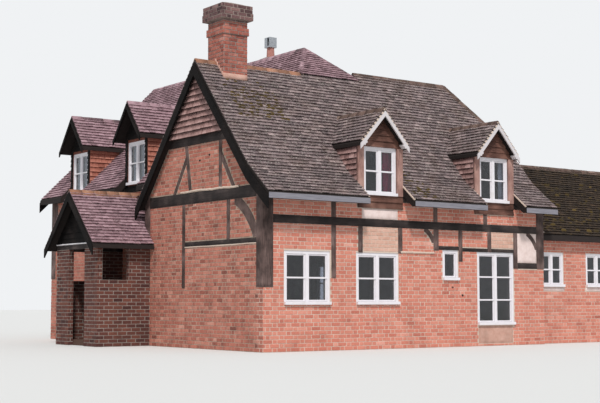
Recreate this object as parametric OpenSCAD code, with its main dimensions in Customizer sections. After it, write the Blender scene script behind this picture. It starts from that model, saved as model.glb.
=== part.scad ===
// Half timbered house: a main range with its long side to the front, a higher rear
// wing hipped against its ridge, a gabled brick porch and a lower extension.
// X runs right along the front wall, Y runs back, Z is up. The origin is the outer
// corner of the front wall and the left gable, at the ground. All sizes in millimetres.

/* [Main range] */
// Length of the main range along the front wall
range_l = 7880; // [7780:10:8100]
// Depth of the main range between its outer wall faces
range_w = 4730; // [4650:10:4850]
// Height of the front brickwork under the long rail
storey_z = 2540; // [2500:10:2580]
// Thickness of the brick walls
wall_t = 230; // [215:5:250]
// Depth of the frame timbers into the wall
frame_t = 150; // [130:5:180]
// How far the timbers stand out of the brick face
proud = 10; // [4:1:16]
// Thickness of the ground floor slabs
slab_t = 120; // [80:5:150]

/* [Main roof] */
// Height of the left part of the ridge
ridge_z = 6090; // [6000:10:6150]
// Extra height of the right part of the ridge
ridge_step = 195; // [120:5:220]
// Distance along the front at which the ridge steps up
step_x = 4245; // [4100:5:4300]
// Reach of the front eave beyond the wall face
eave_over = 430; // [380:10:460]
// Height of the tiles at the front eave
eave_z = 3090; // [3060:5:3110]
// Distance behind the wall face at which the sprocketed slope steepens
sprocket_y = 335; // [300:5:380]
// Height of the tiles at that break
sprocket_z = 3715; // [3690:5:3740]
// Reach of the rear eave beyond the back wall
back_over = 150; // [120:5:180]
// Upright thickness of tiles, battens and rafters
roof_v = 200; // [180:5:230]
// Height of the cut edge at the eaves
edge_h = 110; // [90:5:130]
// Reach of the roof beyond the left gable
verge_over = 160; // [120:5:200]
// Reach of the roof beyond the right end wall
end_over = 50; // [30:5:80]
// Level length of the half hip at the right end
hip_run = 815; // [700:5:900]
// Drop of the half hip over that length
hip_drop = 1400; // [1300:10:1500]
// Upright thickness of the steep half hip
hip_v = 300; // [260:10:340]

/* [Bargeboards] */
// Thickness of a bargeboard
barge_t = 35; // [25:1:45]
// Upright height of the bargeboards on the main gables
barge_h = 260; // [220:10:300]
// Distance of their top edge below the tile surface
barge_drop = 60; // [40:5:80]

/* [Rear wing] */
// Distance of the wing's left wall face behind the gable face of the main range
wing_x = 345; // [330:5:400]
// Distance of the wing's right wall face in from the right end wall
wing_in = 1315; // [1250:5:1380]
// Length of the wing behind the main range
wing_l = 5690; // [5600:10:5900]
// Height of the wing's ridge
wing_ridge_z = 6930; // [6880:10:6980]
// Height of the wing's tiles at the eaves
wing_eave_z = 3640; // [3620:5:3680]
// Reach of the wing's eaves beyond its walls
wing_over = 290; // [260:5:320]
// Distance of the head of the front hip behind the main ridge
hip_back = 985; // [900:5:1050]
// Height of the foot of the hip above the left part of the main ridge
hip_foot = 15; // [5:5:40]
// Reach of the wing's verge beyond its back wall
wing_verge = 160; // [120:5:200]
// Height of the foot of the posts at its back corners
wing_post_foot = 1570; // [1500:10:1640]
// Distance of the outer studs of its back gable from the middle
wing_stud_out = 1700; // [1600:10:1800]

/* [Front frame] */
// Height of the long rail and the other principal beams
rail_h = 160; // [140:5:180]
// Width of a principal post
post_w = 140; // [120:5:150]
// Width of a stud
stud_w = 110; // [90:5:120]
// Height of a light rail over a window
light_rail_h = 75; // [60:5:90]
// Left edge of the stud right of the first window
stud_1_x = 1675; // [1660:5:1800]
// Height of the foot of that stud
stud_1_foot = 1460; // [1400:10:1500]
// Left edge of the stud over the left end of the second window
stud_2_x = 2376; // [2365:5:2400]
// Left edge of the stud over its right end
stud_3_x = 3456; // [3440:5:3465]
// Left edge of the post with a brace
post_1_x = 4460; // [4400:5:4500]
// Height of the foot of that post
post_1_foot = 2084; // [2050:2:2120]
// Left edge of the post right of the small window
post_2_x = 5195; // [5190:5:5250]
// Height of the foot of that post
post_2_foot = 1858; // [1840:2:1880]
// Left edge of the stud over the tall window
stud_4_x = 6080; // [6050:5:6150]
// Left edge of the stud over the rail, under the right dormer
upper_stud_x = 5960; // [5920:5:6000]
// Width of the post right of the tall window
post_3_w = 118; // [100:2:130]
// Height of the foot of the right-hand posts
post_3_foot = 1728; // [1700:2:1760]
// Height of the beam under the plastered panel
panel_beam_h = 130; // [110:5:150]
// Height of the foot of the left corner posts
corner_foot = 1270; // [1200:10:1400]
// Underside of the wall plate under the front eave
plate_z = 3080; // [3060:5:3120]
// Level reach of the brace left of the braced post
brace_1_run = 270; // [220:5:320]
// Drop of that brace below the long rail
brace_1_drop = 290; // [250:5:330]
// Level reach of the brace at the right corner post
brace_2_run = 330; // [280:5:380]
// Drop of that brace below the long rail
brace_2_drop = 370; // [320:5:420]
// Width of the braces on the front
brace_w = 100; // [80:5:120]
// Radius of a curved brace over its span
brace_bend = 1.3; // [1.1:0.1:2]

/* [Gable frame] */
// Height of the underside of the bressummer across the gable
bress_z = 3060; // [3040:5:3090]
// Height of the bressummer
bress_h = 240; // [220:5:260]
// Height of the underside of the tie beam
tie_z = 4320; // [4280:10:4360]
// Height of the tie beam
tie_h = 215; // [190:5:230]
// Near edge of the upright stud over the bressummer
gable_stud_y = 1510; // [1480:5:1540]
// Near edge of the foot of the leaning stud
lean_foot_y = 2700; // [2650:5:2750]
// Lean of that stud over its height
lean = 180; // [120:10:240]
// Underside of the middle rail below the bressummer
mid_rail_z = 2150; // [2120:5:2180]
// Height of the middle rail
mid_rail_h = 96; // [80:4:110]
// Near edge of the first stud below the bressummer
low_stud_1_y = 1200; // [1180:5:1240]
// Near edge of the second stud below the bressummer
low_stud_2_y = 2970; // [2900:10:3050]
// Level reach of the knee brace from the corner post
knee_run = 790; // [700:10:850]
// Drop of the knee brace below the bressummer
knee_drop = 800; // [720:10:850]
// Width of the knee brace
knee_w = 210; // [180:5:230]
// Level spread of a raking strut
strut_run = 520; // [480:10:560]
// Height of the head of the raking struts above the bressummer
strut_rise = 850; // [780:10:900]
// Upright height of their cut against a stud
strut_cut = 176; // [150:2:200]
// Thickness of the tile hanging on the gables
hanging_t = 45; // [35:1:60]
// Overlap of the tile hanging below the top of the tie beam
hanging_lap = 40; // [20:5:60]

/* [Windows] */
// Width of the double windows of the front wall
window_w = 1146; // [1120:2:1160]
// Width of a window's outer frame
casing = 62; // [50:2:70]
// Depth of a window's frame
casing_t = 75; // [65:5:90]
// Width of a mullion
mullion = 70; // [55:5:80]
// Height of a glazing bar
bar = 32; // [24:2:40]
// Thickness of the glass
glass_t = 6; // [4:1:8]
// Set-back of the frames behind the wall face
reveal = 15; // [10:1:30]
// Height of the sills
sill_h = 60; // [45:5:70]
// Reach of the sills beyond the wall face
sill_out = 55; // [40:5:70]
// Left edge of the first window
win_1_x = 496; // [470:2:510]
// Left edge of the second window
win_2_x = 2316; // [2300:2:2340]
// Height of the underside of those two windows
win_z = 925; // [900:5:950]
// Height of those two windows
win_h = 1073; // [1050:1:1100]
// Left edge of the small window
small_x = 4720; // [4710:2:4726]
// Width of the small window
small_w = 464; // [450:2:470]
// Height of the underside of the small window
small_z = 1447; // [1430:1:1460]
// Height of the small window
small_h = 659; // [640:1:670]
// Left edge of the tall window
tall_x = 5756; // [5750:2:5770]
// Height of the underside of the tall window
tall_z = 464; // [440:2:480]
// Height of the tall window
tall_h = 1620; // [1600:2:1640]

/* [Front dormers] */
// Centre of the left dormer along the front
dormer_1_x = 2965; // [2955:5:2975]
// Centre of the right dormer along the front
dormer_2_x = 6295; // [6250:5:6330]
// Width of a front dormer across its cheeks
dormer_w = 1220; // [1200:5:1240]
// Height of the underside of the dormer's apron
apron_z = 2927; // [2910:1:2940]
// Height of the underside of a dormer window
dormer_win_z = 3200; // [3190:5:3215]
// Width of a dormer window
dormer_win_w = 900; // [880:5:920]
// Height of a dormer window
dormer_win_h = 1020; // [1000:5:1025]
// Height of the dormer's ridge
dormer_ridge_z = 5010; // [4980:5:5060]
// Height of the dormer's tiles at its eaves
dormer_eave_z = 4275; // [4265:5:4290]
// Reach of the dormer's eaves beyond its cheeks
dormer_over = 50; // [40:5:70]
// Reach of the dormer's verge before its face
dormer_verge = 165; // [140:5:190]
// Upright thickness of a dormer roof
dormer_v = 110; // [95:5:120]
// Height of the cut edge of a dormer roof
dormer_edge = 70; // [60:5:80]
// Thickness of a dormer's face and cheeks
cheek_t = 100; // [80:5:115]
// Upright height of a dormer's bargeboards
dormer_barge_h = 110; // [100:5:120]

/* [Wing dormers] */
// Distance of the near dormer's centre behind the main range
wing_dormer_1 = 1086; // [1040:5:1120]
// Distance of the far dormer's centre behind the main range
wing_dormer_2 = 4061; // [4000:10:4120]
// Width of a wing dormer across its cheeks
wing_dormer_w = 1060; // [1040:5:1090]
// Height of the underside of the face of a wing dormer
wing_apron_z = 3560; // [3550:5:3600]
// Height of the underside of a wing dormer's window
wing_win_z = 3737; // [3720:1:3750]
// Width of a wing dormer's window
wing_win_w = 850; // [830:5:870]
// Height of a wing dormer's window
wing_win_h = 1020; // [1000:5:1030]
// Height of a wing dormer's ridge
wing_dormer_ridge = 5660; // [5630:5:5700]
// Height of a wing dormer's tiles at its eaves
wing_dormer_eave = 4840; // [4820:5:4860]
// Reach of a wing dormer's eaves beyond its cheeks
wing_dormer_over = 130; // [100:5:170]
// Reach of a wing dormer's verge before its face
wing_dormer_verge = 270; // [240:5:285]

/* [Wing back windows] */
// Distance of the outer windows from the wing's corners
back_win_in = 1200; // [1100:10:1300]
// Height of the underside of the upper window in the wing's gable
gable_win_z = 3120; // [3100:10:3200]

/* [Chimneys] */
// Width of the main stack along the ridge
stack_w = 605; // [560:5:640]
// Depth of the main stack across the ridge
stack_d = 615; // [570:5:650]
// Distance of the main stack from the gable face
stack_x = 367; // [350:1:420]
// Height of the top of the main stack
stack_z = 7340; // [7300:10:7450]
// Height of a brick course with its joint
course = 81; // [75:1:84]
// Width of the flue
flue = 225; // [200:5:250]
// Distance of the rear stack's centre from the wing's right wall
rear_stack_in = 1921; // [1870:1:1960]
// Distance of the rear stack's centre behind the main range
rear_stack_back = 1750; // [1670:10:1830]
// Width of the rear stack
rear_stack_w = 500; // [450:10:540]
// Height of the top of the rear stack
rear_stack_z = 7290; // [7200:10:7350]
// Outer radius of the foot of the chimney pot
pot_r = 112; // [106:1:118]
// Height of the chimney pot
pot_h = 362; // [330:4:390]
// Thickness of the pot
pot_t = 22; // [18:1:26]
// Taper of the pot's radius up to its head
pot_taper = 20; // [15:1:24]
// Width of the square cowl on the pot
cowl_w = 230; // [220:2:240]
// Height of the cowl
cowl_h = 268; // [250:2:290]
// Thickness of the cowl's sheet
cowl_t = 10; // [8:1:12]
// Lap of the cowl over the pot
cowl_lap = 30; // [24:2:40]
// Width of the slots in two sides of the cowl
cowl_slot = 90; // [80:2:96]
// Reach of a corbelled course beyond the one below
corbel = 27; // [22:1:32]

/* [Porch] */
// Reach of the porch before the gable face
porch_l = 1296; // [1250:2:1350]
// Distance of the porch's near side behind the front wall face
porch_y = 4500; // [4490:5:4520]
// Width of the porch across its side walls
porch_w = 2060; // [2000:10:2080]
// Thickness of the porch brickwork
porch_t = 115; // [105:5:125]
// Width of the porch doorway
porch_door_w = 790; // [760:10:820]
// Height of the dado in the porch sides
dado_z = 1458; // [1400:2:1480]
// Distance from the gable face at which the side openings end
side_jamb = 529; // [500:1:560]
// Height of the underside of the porch plates
porch_plate_z = 2160; // [2140:5:2170]
// Height of the porch plates
porch_plate_h = 110; // [95:5:115]
// Height of the porch ridge
porch_ridge_z = 3456; // [3400:4:3470]
// Height of the porch tiles at the eaves
porch_eave_z = 2214; // [2200:2:2230]
// Reach of the porch eaves beyond its sides
porch_over = 200; // [180:5:220]
// Reach of the porch verge before its front
porch_verge = 215; // [190:5:230]
// Upright height of the porch bargeboards
porch_barge_h = 190; // [160:5:210]
// Width of the house door
door_w = 860; // [820:5:900]
// Height of the house door
door_h = 1980; // [1940:5:2000]
// Thickness of the house door
door_t = 45; // [40:1:55]
// Width of the door's frame
jamb = 80; // [70:5:90]

/* [Extension] */
// Length of the extension beyond the right end wall
ext_l = 4860; // [4800:10:5000]
// Distance of its front wall behind that of the main range
ext_y = 216; // [180:2:260]
// Distance of its back wall before that of the main range
ext_back = 224; // [200:4:300]
// Height of its ridge
ext_ridge_z = 4450; // [4400:10:4500]
// Height of its tiles at the eaves
ext_eave_z = 2516; // [2500:4:2540]
// Reach of its eaves beyond its walls
ext_over = 200; // [170:5:230]
// Reach of its verge beyond its end wall
ext_verge = 60; // [40:5:90]
// Width of an extension window
ext_win_w = 810; // [780:5:840]
// Height of an extension window
ext_win_h = 810; // [780:5:830]
// Height of the underside of the extension windows
ext_win_z = 1328; // [1300:4:1350]
// Distance of the first of them from the main range
ext_win_x = 112; // [100:2:140]
// Spacing of the extension windows
ext_bay = 1600; // [1550:10:1620]

/* [Hidden] */

// Reach of a cutting solid past what it cuts
past = 1000;
// Level below which no roof volume reaches
base_z = 1000;
// Level above every roof
sky_z = 9000;
// Height of the top of the long rail and of the upper floor
floor_z = storey_z + rail_h;
// Thickness of a boarded face
board_t = 30;

wing_x1 = range_l - wing_in;
wing_w = wing_x1 - wing_x;
wing_y1 = range_w + wing_l;
wing_mid = (wing_x + wing_x1) / 2;
ext_x1 = range_l + ext_l;
ext_y1 = range_w - ext_back;
rear_stack_x = wing_x1 - rear_stack_in;
rear_stack_y = range_w + rear_stack_back;
porch_y1 = porch_y + porch_w;
porch_mid = porch_y + porch_w / 2;
roof_x1 = range_l + end_over;
win_top = win_z + win_h;
small_top = small_z + small_h;
tall_top = tall_z + tall_h;
post_3_x = tall_x + window_w;
bress_top = bress_z + bress_h;
tie_top = tie_z + tie_h;

// Rise over run of the main slopes, and where the higher ridge then lies
main_tan = (ridge_z - sprocket_z) / (range_w / 2 - sprocket_y);
high_y = range_w / 2 + ridge_step / main_tan;
high_z = ridge_z + ridge_step;
hip_x = roof_x1 - hip_run;
hip_tan = hip_drop / hip_run;
back_tip = [range_w + back_over, ridge_z - main_tan * (range_w / 2 + back_over)];
wing_hip_tan = (wing_ridge_z - ridge_z - hip_foot) / hip_back;
wing_hip_y = range_w / 2 + hip_back;

// Tile surfaces, as lines from eave to eave
low_line = [[-eave_over, eave_z], [sprocket_y, sprocket_z], [range_w / 2, ridge_z], back_tip];
high_line = [[-eave_over, eave_z], [sprocket_y, sprocket_z], [high_y, high_z], back_tip];
wing_line = [[wing_x - wing_over, wing_eave_z], [wing_mid, wing_ridge_z],
             [wing_x1 + wing_over, wing_eave_z]];
porch_line = [[porch_y - porch_over, porch_eave_z], [porch_mid, porch_ridge_z],
              [porch_y1 + porch_over, porch_eave_z]];
ext_line = [[ext_y - ext_over, ext_eave_z], [(ext_y + ext_y1) / 2, ext_ridge_z],
            [ext_y1 + ext_over, ext_eave_z]];

// Point where the underside of a slope meets the level cut of its eave
function soffit(p, q, v, e) = [p[0] + (v - e) * (q[0] - p[0]) / (q[1] - p[1]), p[1] - e];
// Inner points of a roof, from the last back to the first
function inner(l, v) = [for (i = [len(l) - 2 : -1 : 1]) l[i] - [0, v]];
// Section of the roof's own thickness
function ring(l, v, e) = let (n = len(l) - 1) concat(l, [l[n] - [0, e]],
    [soffit(l[n], l[n - 1], v, e)], inner(l, v), [soffit(l[0], l[1], v, e)], [l[0] - [0, e]]);
// Section of the space under the roof
function under(l, v, e) = let (n = len(l) - 1, a = soffit(l[0], l[1], v, e),
    b = soffit(l[n], l[n - 1], v, e)) concat([[b[0], base_z], b], inner(l, v), [a, [a[0], base_z]]);
// Height of the underside at a distance in from the first eave
function under_z(l, v, a) = l[0][1] - v + (a - l[0][0]) * (l[1][1] - l[0][1]) / (l[1][0] - l[0][0]);
// Section of the roof and of all under it between the wall faces a and b
function full(l, v, e, a, b) = let (n = len(l) - 1, z = under_z(l, v, a)) concat(
    l, [l[n] - [0, e]], [soffit(l[n], l[n - 1], v, e)], [[b, z], [b, base_z], [a, base_z], [a, z]],
    [soffit(l[0], l[1], v, e)], [l[0] - [0, e]]);
// Interval of half length h about c
function about(c, h) = [c - h, c + h];
// Strip that hangs below a tile surface, for a bargeboard
function strip(l, top, h) = concat([for (p = l) p - [0, top]],
    [for (i = [len(l) - 1 : -1 : 0]) l[i] - [0, top + h]]);

module block(x, y, z) {
  translate([x[0], y[0], z[0]]) cube([x[1] - x[0], y[1] - y[0], z[1] - z[0]]);
}
// Section given in Y and Z, carried along X
module along_x(pts, x0, x1) {
  translate([x0, 0, 0]) rotate([90, 0, 90]) linear_extrude(x1 - x0) polygon(pts);
}
// Section given in X and Z, carried along Y
module along_y(pts, y0, y1) {
  translate([0, y1, 0]) rotate([90, 0, 0]) linear_extrude(y1 - y0) polygon(pts);
}

// Wall frames: local X runs along the wall, local Y into it from the outer face
module on_gable() { mirror([1, 0, 0]) rotate([0, 0, 90]) children(); }
module on_wing_left() { translate([wing_x, range_w, 0]) on_gable() children(); }
module on_wing_right() { translate([wing_x1, range_w, 0]) rotate([0, 0, 90]) children(); }
module on_wing_back() { translate([wing_x, wing_y1, 0]) mirror([0, 1, 0]) children(); }

// One timber from u0 to u1 along the wall and z0 to z1 up it
module timber(u0, u1, z0, z1) { block([u0, u1], [-proud, frame_t], [z0, z1]); }
// Slanting timber through four points of the wall face
module raking(pts) { along_y(pts, -proud, frame_t); }
// Curved brace of width w from a to b, whose centre lies below its chord
module curved_brace(a, b, w) {
  chord = b - a;
  span = norm(chord);
  radius = span * brace_bend;
  side = sign(chord[0]) * sqrt(radius * radius - span * span / 4) / span;
  centre = (a + b) / 2 + side * [chord[1], -chord[0]];
  intersection() {
    translate([centre[0], frame_t, centre[1]]) rotate([90, 0, 0]) difference() {
      cylinder(r = radius + w / 2, h = frame_t + proud, $fn = 96);
      translate([0, 0, -past]) cylinder(r = radius - w / 2, h = frame_t + proud + 2 * past, $fn = 96);
    }
    block([min(a[0], b[0]), max(a[0], b[0])], [-past, past], [min(a[1], b[1]), max(a[1], b[1])]);
  }
}

// Space inside the main roof, and the main roof with all that it covers
module main_inside() {
  along_x(under(low_line, roof_v, edge_h), -verge_over - past, step_x);
  intersection() {
    along_x(under(high_line, roof_v, edge_h), step_x, roof_x1);
    along_y(hip_section(hip_v), -past, range_w + past);
  }
}
function hip_level(x) = high_z - (x - hip_x) * hip_tan;
function hip_section(v) = [[step_x, base_z], [roof_x1, base_z], [roof_x1, hip_level(roof_x1) - v],
    [hip_x - past, hip_level(hip_x - past) - v], [step_x, hip_level(hip_x - past) - v]];
// Space inside the wing's roof
function wing_hip_level(y) = ridge_z + hip_foot + (y - range_w / 2) * wing_hip_tan;
function wing_hip_section(v) = [[range_w / 2, base_z], [wing_y1 + past, base_z],
    [wing_y1 + past, sky_z], [wing_hip_y + past, sky_z],
    [wing_hip_y + past, wing_hip_level(wing_hip_y + past) - v],
    [range_w / 2, wing_hip_level(range_w / 2) - v]];
module wing_inside() {
  intersection() {
    along_y(under(wing_line, roof_v, edge_h), range_w / 2, wing_y1 + past);
    along_x(wing_hip_section(roof_v), -past, wing_x1 + past);
  }
}
// The wing's roof with all that it covers, which is cut out of the main roof
module wing_whole() {
  intersection() {
    along_y(full(wing_line, roof_v, edge_h, wing_x, wing_x1), range_w / 2, wing_y1 + wing_verge);
    along_x(wing_hip_section(0), -past, wing_x1 + past);
  }
}

// Stacks, as the shafts that floors and roofs are cut for
module main_shaft() {
  block([stack_x, stack_x + stack_w], [(range_w - stack_d) / 2, (range_w + stack_d) / 2], [0, stack_z]);
}
module rear_shaft() {
  block(about(rear_stack_x, rear_stack_w / 2), about(rear_stack_y, rear_stack_w / 2), [0, rear_stack_z]);
}

module range_floors() color("tan") {
  difference() {
    union() {
      block([wall_t, range_l - wall_t], [wall_t, range_w - wall_t], [0, slab_t]);
      block([range_l, ext_x1 - wall_t], [ext_y + wall_t, ext_y1 - wall_t], [0, slab_t]);
      block([wall_t, range_l - wall_t], [frame_t, range_w - wall_t], [storey_z, floor_z]);
    }
    main_shaft();
  }
}

module wing_floors() color("tan") {
  x = [wing_x + wall_t, wing_x1 - wall_t];
  difference() {
    union() {
      block(x, [range_w - wall_t, wing_y1 - wall_t], [0, slab_t]);
      block(x, [range_w - wall_t, wing_y1 - wall_t], [storey_z, floor_z]);
    }
    rear_shaft();
  }
}

// Openings of the front wall: left edge, underside, width, height, lights and rows
front_windows = [[win_1_x, win_z, window_w, win_h, 2, 2], [win_2_x, win_z, window_w, win_h, 2, 2],
                 [small_x, small_z, small_w, small_h, 1, 1], [tall_x, tall_z, window_w, tall_h, 2, 3]];
ext_windows = [for (i = [0 : 2])
    [range_l + ext_win_x + i * ext_bay, ext_win_z, ext_win_w, ext_win_h, 2, 2]];
// Ground windows of the wing's back and right walls
wing_windows = [[back_win_in, win_z, window_w, win_h, 2, 2],
                [wing_w - back_win_in - window_w, win_z, window_w, win_h, 2, 2]];
side_windows = [for (c = [wing_dormer_1, wing_dormer_2])
    [c + wing_dormer_w / 2 - window_w / 2, win_z, window_w, win_h, 2, 2]];
gable_window = [(wing_w - window_w) / 2, gable_win_z, window_w, win_h, 2, 2];

module holes(list) {
  for (w = list) block([w[0], w[0] + w[2]], [-past, past], [w[1], w[1] + w[3]]);
}

// Casement frame with its sill, set in a wall face
module window(w) {
  pane_w = (w[2] - 2 * casing - (w[4] - 1) * mullion) / w[4];
  pane_h = (w[3] - 2 * casing - (w[5] - 1) * bar) / w[5];
  translate([w[0], reveal, w[1]]) difference() {
    union() {
      cube([w[2], casing_t, w[3]]);
      translate([0, -reveal - sill_out, 0]) cube([w[2], sill_out + reveal, sill_h]);
    }
    for (i = [0 : w[4] - 1], j = [0 : w[5] - 1])
      translate([casing + i * (pane_w + mullion), -past, casing + j * (pane_h + bar)])
        cube([pane_w, 2 * past, pane_h]);
    translate([casing, (casing_t + glass_t) / 2 - glass_t, casing])
      cube([w[2] - 2 * casing, casing_t, w[3] - 2 * casing]);
  }
}
module glass(w) {
  translate([w[0] + casing, reveal + (casing_t - glass_t) / 2, w[1] + casing])
    cube([w[2] - 2 * casing, glass_t, w[3] - 2 * casing]);
}

// Uprights of the front wall: left edge, width and foot of those under the long rail,
// and left edge and head of those over it
front_stud_list = [[stud_1_x, stud_w, stud_1_foot], [stud_2_x, stud_w, win_top],
                   [stud_3_x, stud_w, win_top], [post_1_x, post_w, post_1_foot],
                   [post_2_x, stud_w, post_2_foot], [stud_4_x, stud_w, tall_top],
                   [post_3_x, post_3_w, post_3_foot]];
front_upper_list = [[stud_1_x, plate_z], [post_1_x, plate_z], [upper_stud_x, apron_z]];
front_bays = [dormer_1_x - dormer_w / 2, dormer_1_x + dormer_w / 2,
              dormer_2_x - dormer_w / 2, dormer_2_x + dormer_w / 2];

module corner_post_set() {
  block([-proud, wall_t], [-proud, wall_t], [corner_foot, sprocket_z]);
  block([range_l - wall_t, range_l + proud], [-proud, wall_t], [post_3_foot, sprocket_z]);
  block([-proud, wall_t], [range_w - wall_t, range_w], [corner_foot, sprocket_z]);
}

module front_stud_set() {
  for (s = front_stud_list) timber(s[0], s[0] + s[1], s[2], storey_z);
  for (s = front_upper_list) timber(s[0], s[0] + stud_w, floor_z, s[1]);
}

module front_posts() color("dimgray") {
  intersection() {
    main_inside();
    corner_post_set();
  }
  front_stud_set();
}

module front_rails() color("dimgray") {
  timber(wall_t, range_l - wall_t, storey_z, floor_z);
  timber(post_1_x + post_w, post_2_x, small_top, small_top + light_rail_h);
  timber(post_2_x + stud_w, stud_4_x, tall_top, tall_top + light_rail_h);
  timber(stud_4_x + stud_w, post_3_x, tall_top, tall_top + light_rail_h);
  timber(post_3_x + post_3_w, range_l - wall_t, post_3_foot, post_3_foot + panel_beam_h);
  intersection() {
    main_inside();
    for (x = [[wall_t, front_bays[0]], [front_bays[1], front_bays[2]], [front_bays[3], range_l - wall_t]])
      timber(x[0], x[1], plate_z, sprocket_z);
  }
}

module front_braces() {
  curved_brace([post_1_x - brace_1_run, storey_z], [post_1_x, storey_z - brace_1_drop], brace_w);
  curved_brace([range_l - wall_t - brace_2_run, storey_z], [range_l - wall_t, storey_z - brace_2_drop], brace_w);
}

module front_wall() color("indianred") {
  difference() {
    block([0, range_l], [0, wall_t], [0, storey_z]);
    holes(front_windows);
    corner_post_set();
    front_stud_set();
    front_rails();
    front_braces();
  }
}

module front_infill() color("rosybrown") {
  difference() {
    intersection() {
      main_inside();
      block([wall_t, range_l - wall_t], [0, frame_t], [floor_z, plate_z]);
    }
    front_stud_set();
    for (d = [dormer_1_x, dormer_2_x])
      block(about(d, dormer_w / 2), [-past, past], [apron_z, sky_z]);
  }
}

// Timbers of the left gable, along the wall from its front corner
function lean_y(z) = lean_foot_y + lean * (z - bress_top) / (tie_z - bress_top);
module gable_stud_set() {
  timber(gable_stud_y, gable_stud_y + stud_w, bress_top, tie_z);
  raking([[lean_y(bress_top), bress_top], [lean_y(bress_top) + stud_w, bress_top],
          [lean_y(tie_z) + stud_w, tie_z], [lean_y(tie_z), tie_z]]);
  timber(low_stud_1_y, low_stud_1_y + stud_w, mid_rail_z + mid_rail_h, bress_z);
  timber(low_stud_2_y, low_stud_2_y + stud_w, corner_foot, bress_z);
}
module gable_beam_set() {
  timber(wall_t, range_w - wall_t, bress_z, bress_top);
  timber(0, range_w, tie_z, tie_top);
  timber(wall_t, low_stud_2_y, mid_rail_z, mid_rail_z + mid_rail_h);
}
module gable_brace_set() {
  head_z = bress_top + strut_rise;
  near = gable_stud_y;
  far = lean_y(head_z) + stud_w;
  lap = stud_w / 2;
  curved_brace([wall_t, bress_z - knee_drop], [wall_t + knee_run, bress_z], knee_w);
  // Struts, drawn half way into their studs, which cut them off
  raking([[near + lap, head_z], [near + lap, head_z - strut_cut],
          [near - strut_run + stud_w, bress_top], [near - strut_run, bress_top]]);
  raking([[far - lap, head_z], [far - lap, head_z - strut_cut],
          [far + strut_run - stud_w, bress_top], [far + strut_run, bress_top]]);
}

module gable_studs() color("dimgray") on_gable() gable_stud_set();
module gable_beams() color("dimgray") intersection() {
  main_inside();
  on_gable() gable_beam_set();
}
module frame_braces() color("dimgray") {
  difference() {
    front_braces();
    front_stud_set();
  }
  difference() {
    on_gable() gable_brace_set();
    gable_studs();
  }
}

module gable_wall() color("sienna") {
  difference() {
    union() {
      block([0, wall_t], [wall_t, range_w], [0, bress_z]);
      block([0, wall_t], [0, wall_t], [storey_z, bress_z]);
    }
    corner_post_set();
    gable_studs();
    on_gable() {
      gable_beam_set();
      gable_brace_set();
    }
  }
}

module gable_infill() color("sienna") {
  difference() {
    intersection() {
      main_inside();
      block([0, frame_t], [0, range_w], [bress_z, sky_z]);
    }
    corner_post_set();
    gable_studs();
    on_gable() {
      gable_beam_set();
      gable_brace_set();
    }
  }
}

module gable_tiles() color("chocolate") intersection() {
  main_inside();
  union() {
    block([-proud - hanging_t, -proud], [0, range_w], [tie_top - hanging_lap, sky_z]);
    block([range_l, range_l + end_over], [0, range_w], [tie_top - hanging_lap, sky_z]);
  }
}

module end_wall() color("indianred") {
  difference() {
    intersection() {
      main_inside();
      block([range_l - wall_t, range_l], [wall_t, range_w], [base_z, sky_z]);
    }
    corner_post_set();
  }
  block([range_l - wall_t, range_l], [wall_t, range_w], [0, base_z]);
}

module back_wall() color("indianred") {
  for (x = [[wall_t, wing_x], [wing_x1, range_l - wall_t]]) {
    block(x, [range_w - wall_t, range_w], [0, base_z]);
    intersection() {
      main_inside();
      block(x, [range_w - wall_t, range_w], [base_z, sky_z]);
    }
  }
}

module main_roof() color("saddlebrown") {
  difference() {
    union() {
      along_x(ring(low_line, roof_v, edge_h), -verge_over, step_x);
      intersection() {
        along_x(ring(high_line, roof_v, edge_h), step_x, roof_x1);
        along_y(hip_section(0), -past, range_w + past);
      }
      intersection() {
        along_x(under(high_line, roof_v, edge_h), step_x, roof_x1);
        difference() {
          along_y(hip_section(0), 0, range_w);
          along_y(hip_section(hip_v), -past, range_w + past);
        }
      }
    }
    wing_whole();
    front_dormer_cuts();
    main_shaft();
  }
}

module main_bargeboards() color("black") {
  along_x(strip(low_line, barge_drop, barge_h), -verge_over - barge_t, -verge_over);
}

// Rear wing
module wing_side_walls() color("indianred") {
  difference() {
    for (x = [[wing_x, wing_x + wall_t], [wing_x1 - wall_t, wing_x1]])
      block(x, [range_w - wall_t, wing_y1], [0, storey_z]);
    on_wing_left() house_door_hole();
    on_wing_right() holes(side_windows);
    wing_post_set();
  }
}
module house_door_hole() {
  mid = porch_mid - range_w;
  block(about(mid, door_w / 2 + jamb), [-past, past], [slab_t, slab_t + door_h + jamb]);
}

module wing_back_wall() color("indianred") {
  difference() {
    block([wing_x + wall_t, wing_x1 - wall_t], [wing_y1 - wall_t, wing_y1], [0, storey_z]);
    on_wing_back() holes(wing_windows);
  }
}

// Bays of the side walls, between the dormers
function bays(c, w) = [[0, c[0] - w / 2], [c[0] + w / 2, c[1] - w / 2], [c[1] + w / 2, wing_l - wall_t]];
wing_bays = bays([wing_dormer_1, wing_dormer_2], wing_dormer_w);

module wing_post_set() {
  for (x = [[wing_x - proud, wing_x + wall_t], [wing_x1 - wall_t, wing_x1 + proud]])
    block(x, [wing_y1 - wall_t, wing_y1 + proud], [wing_post_foot, sky_z]);
  on_wing_left() wing_side_studs();
  on_wing_right() wing_side_studs();
  on_wing_back() wing_gable_studs();
}
module wing_posts() color("dimgray") intersection() {
  wing_inside();
  wing_post_set();
}
module wing_side_studs() {
  for (b = wing_bays) timber(b[1] - stud_w, b[1], floor_z, wing_apron_z);
}
module wing_gable_studs() {
  mid = wing_w / 2;
  for (u = [gable_window[0] - stud_w, gable_window[0] + window_w])
    timber(u, u + stud_w, floor_z, tie_z);
  for (s = [-1, 1])
    timber(mid + s * wing_stud_out - stud_w / 2, mid + s * wing_stud_out + stud_w / 2, floor_z, tie_z);
}

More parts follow.
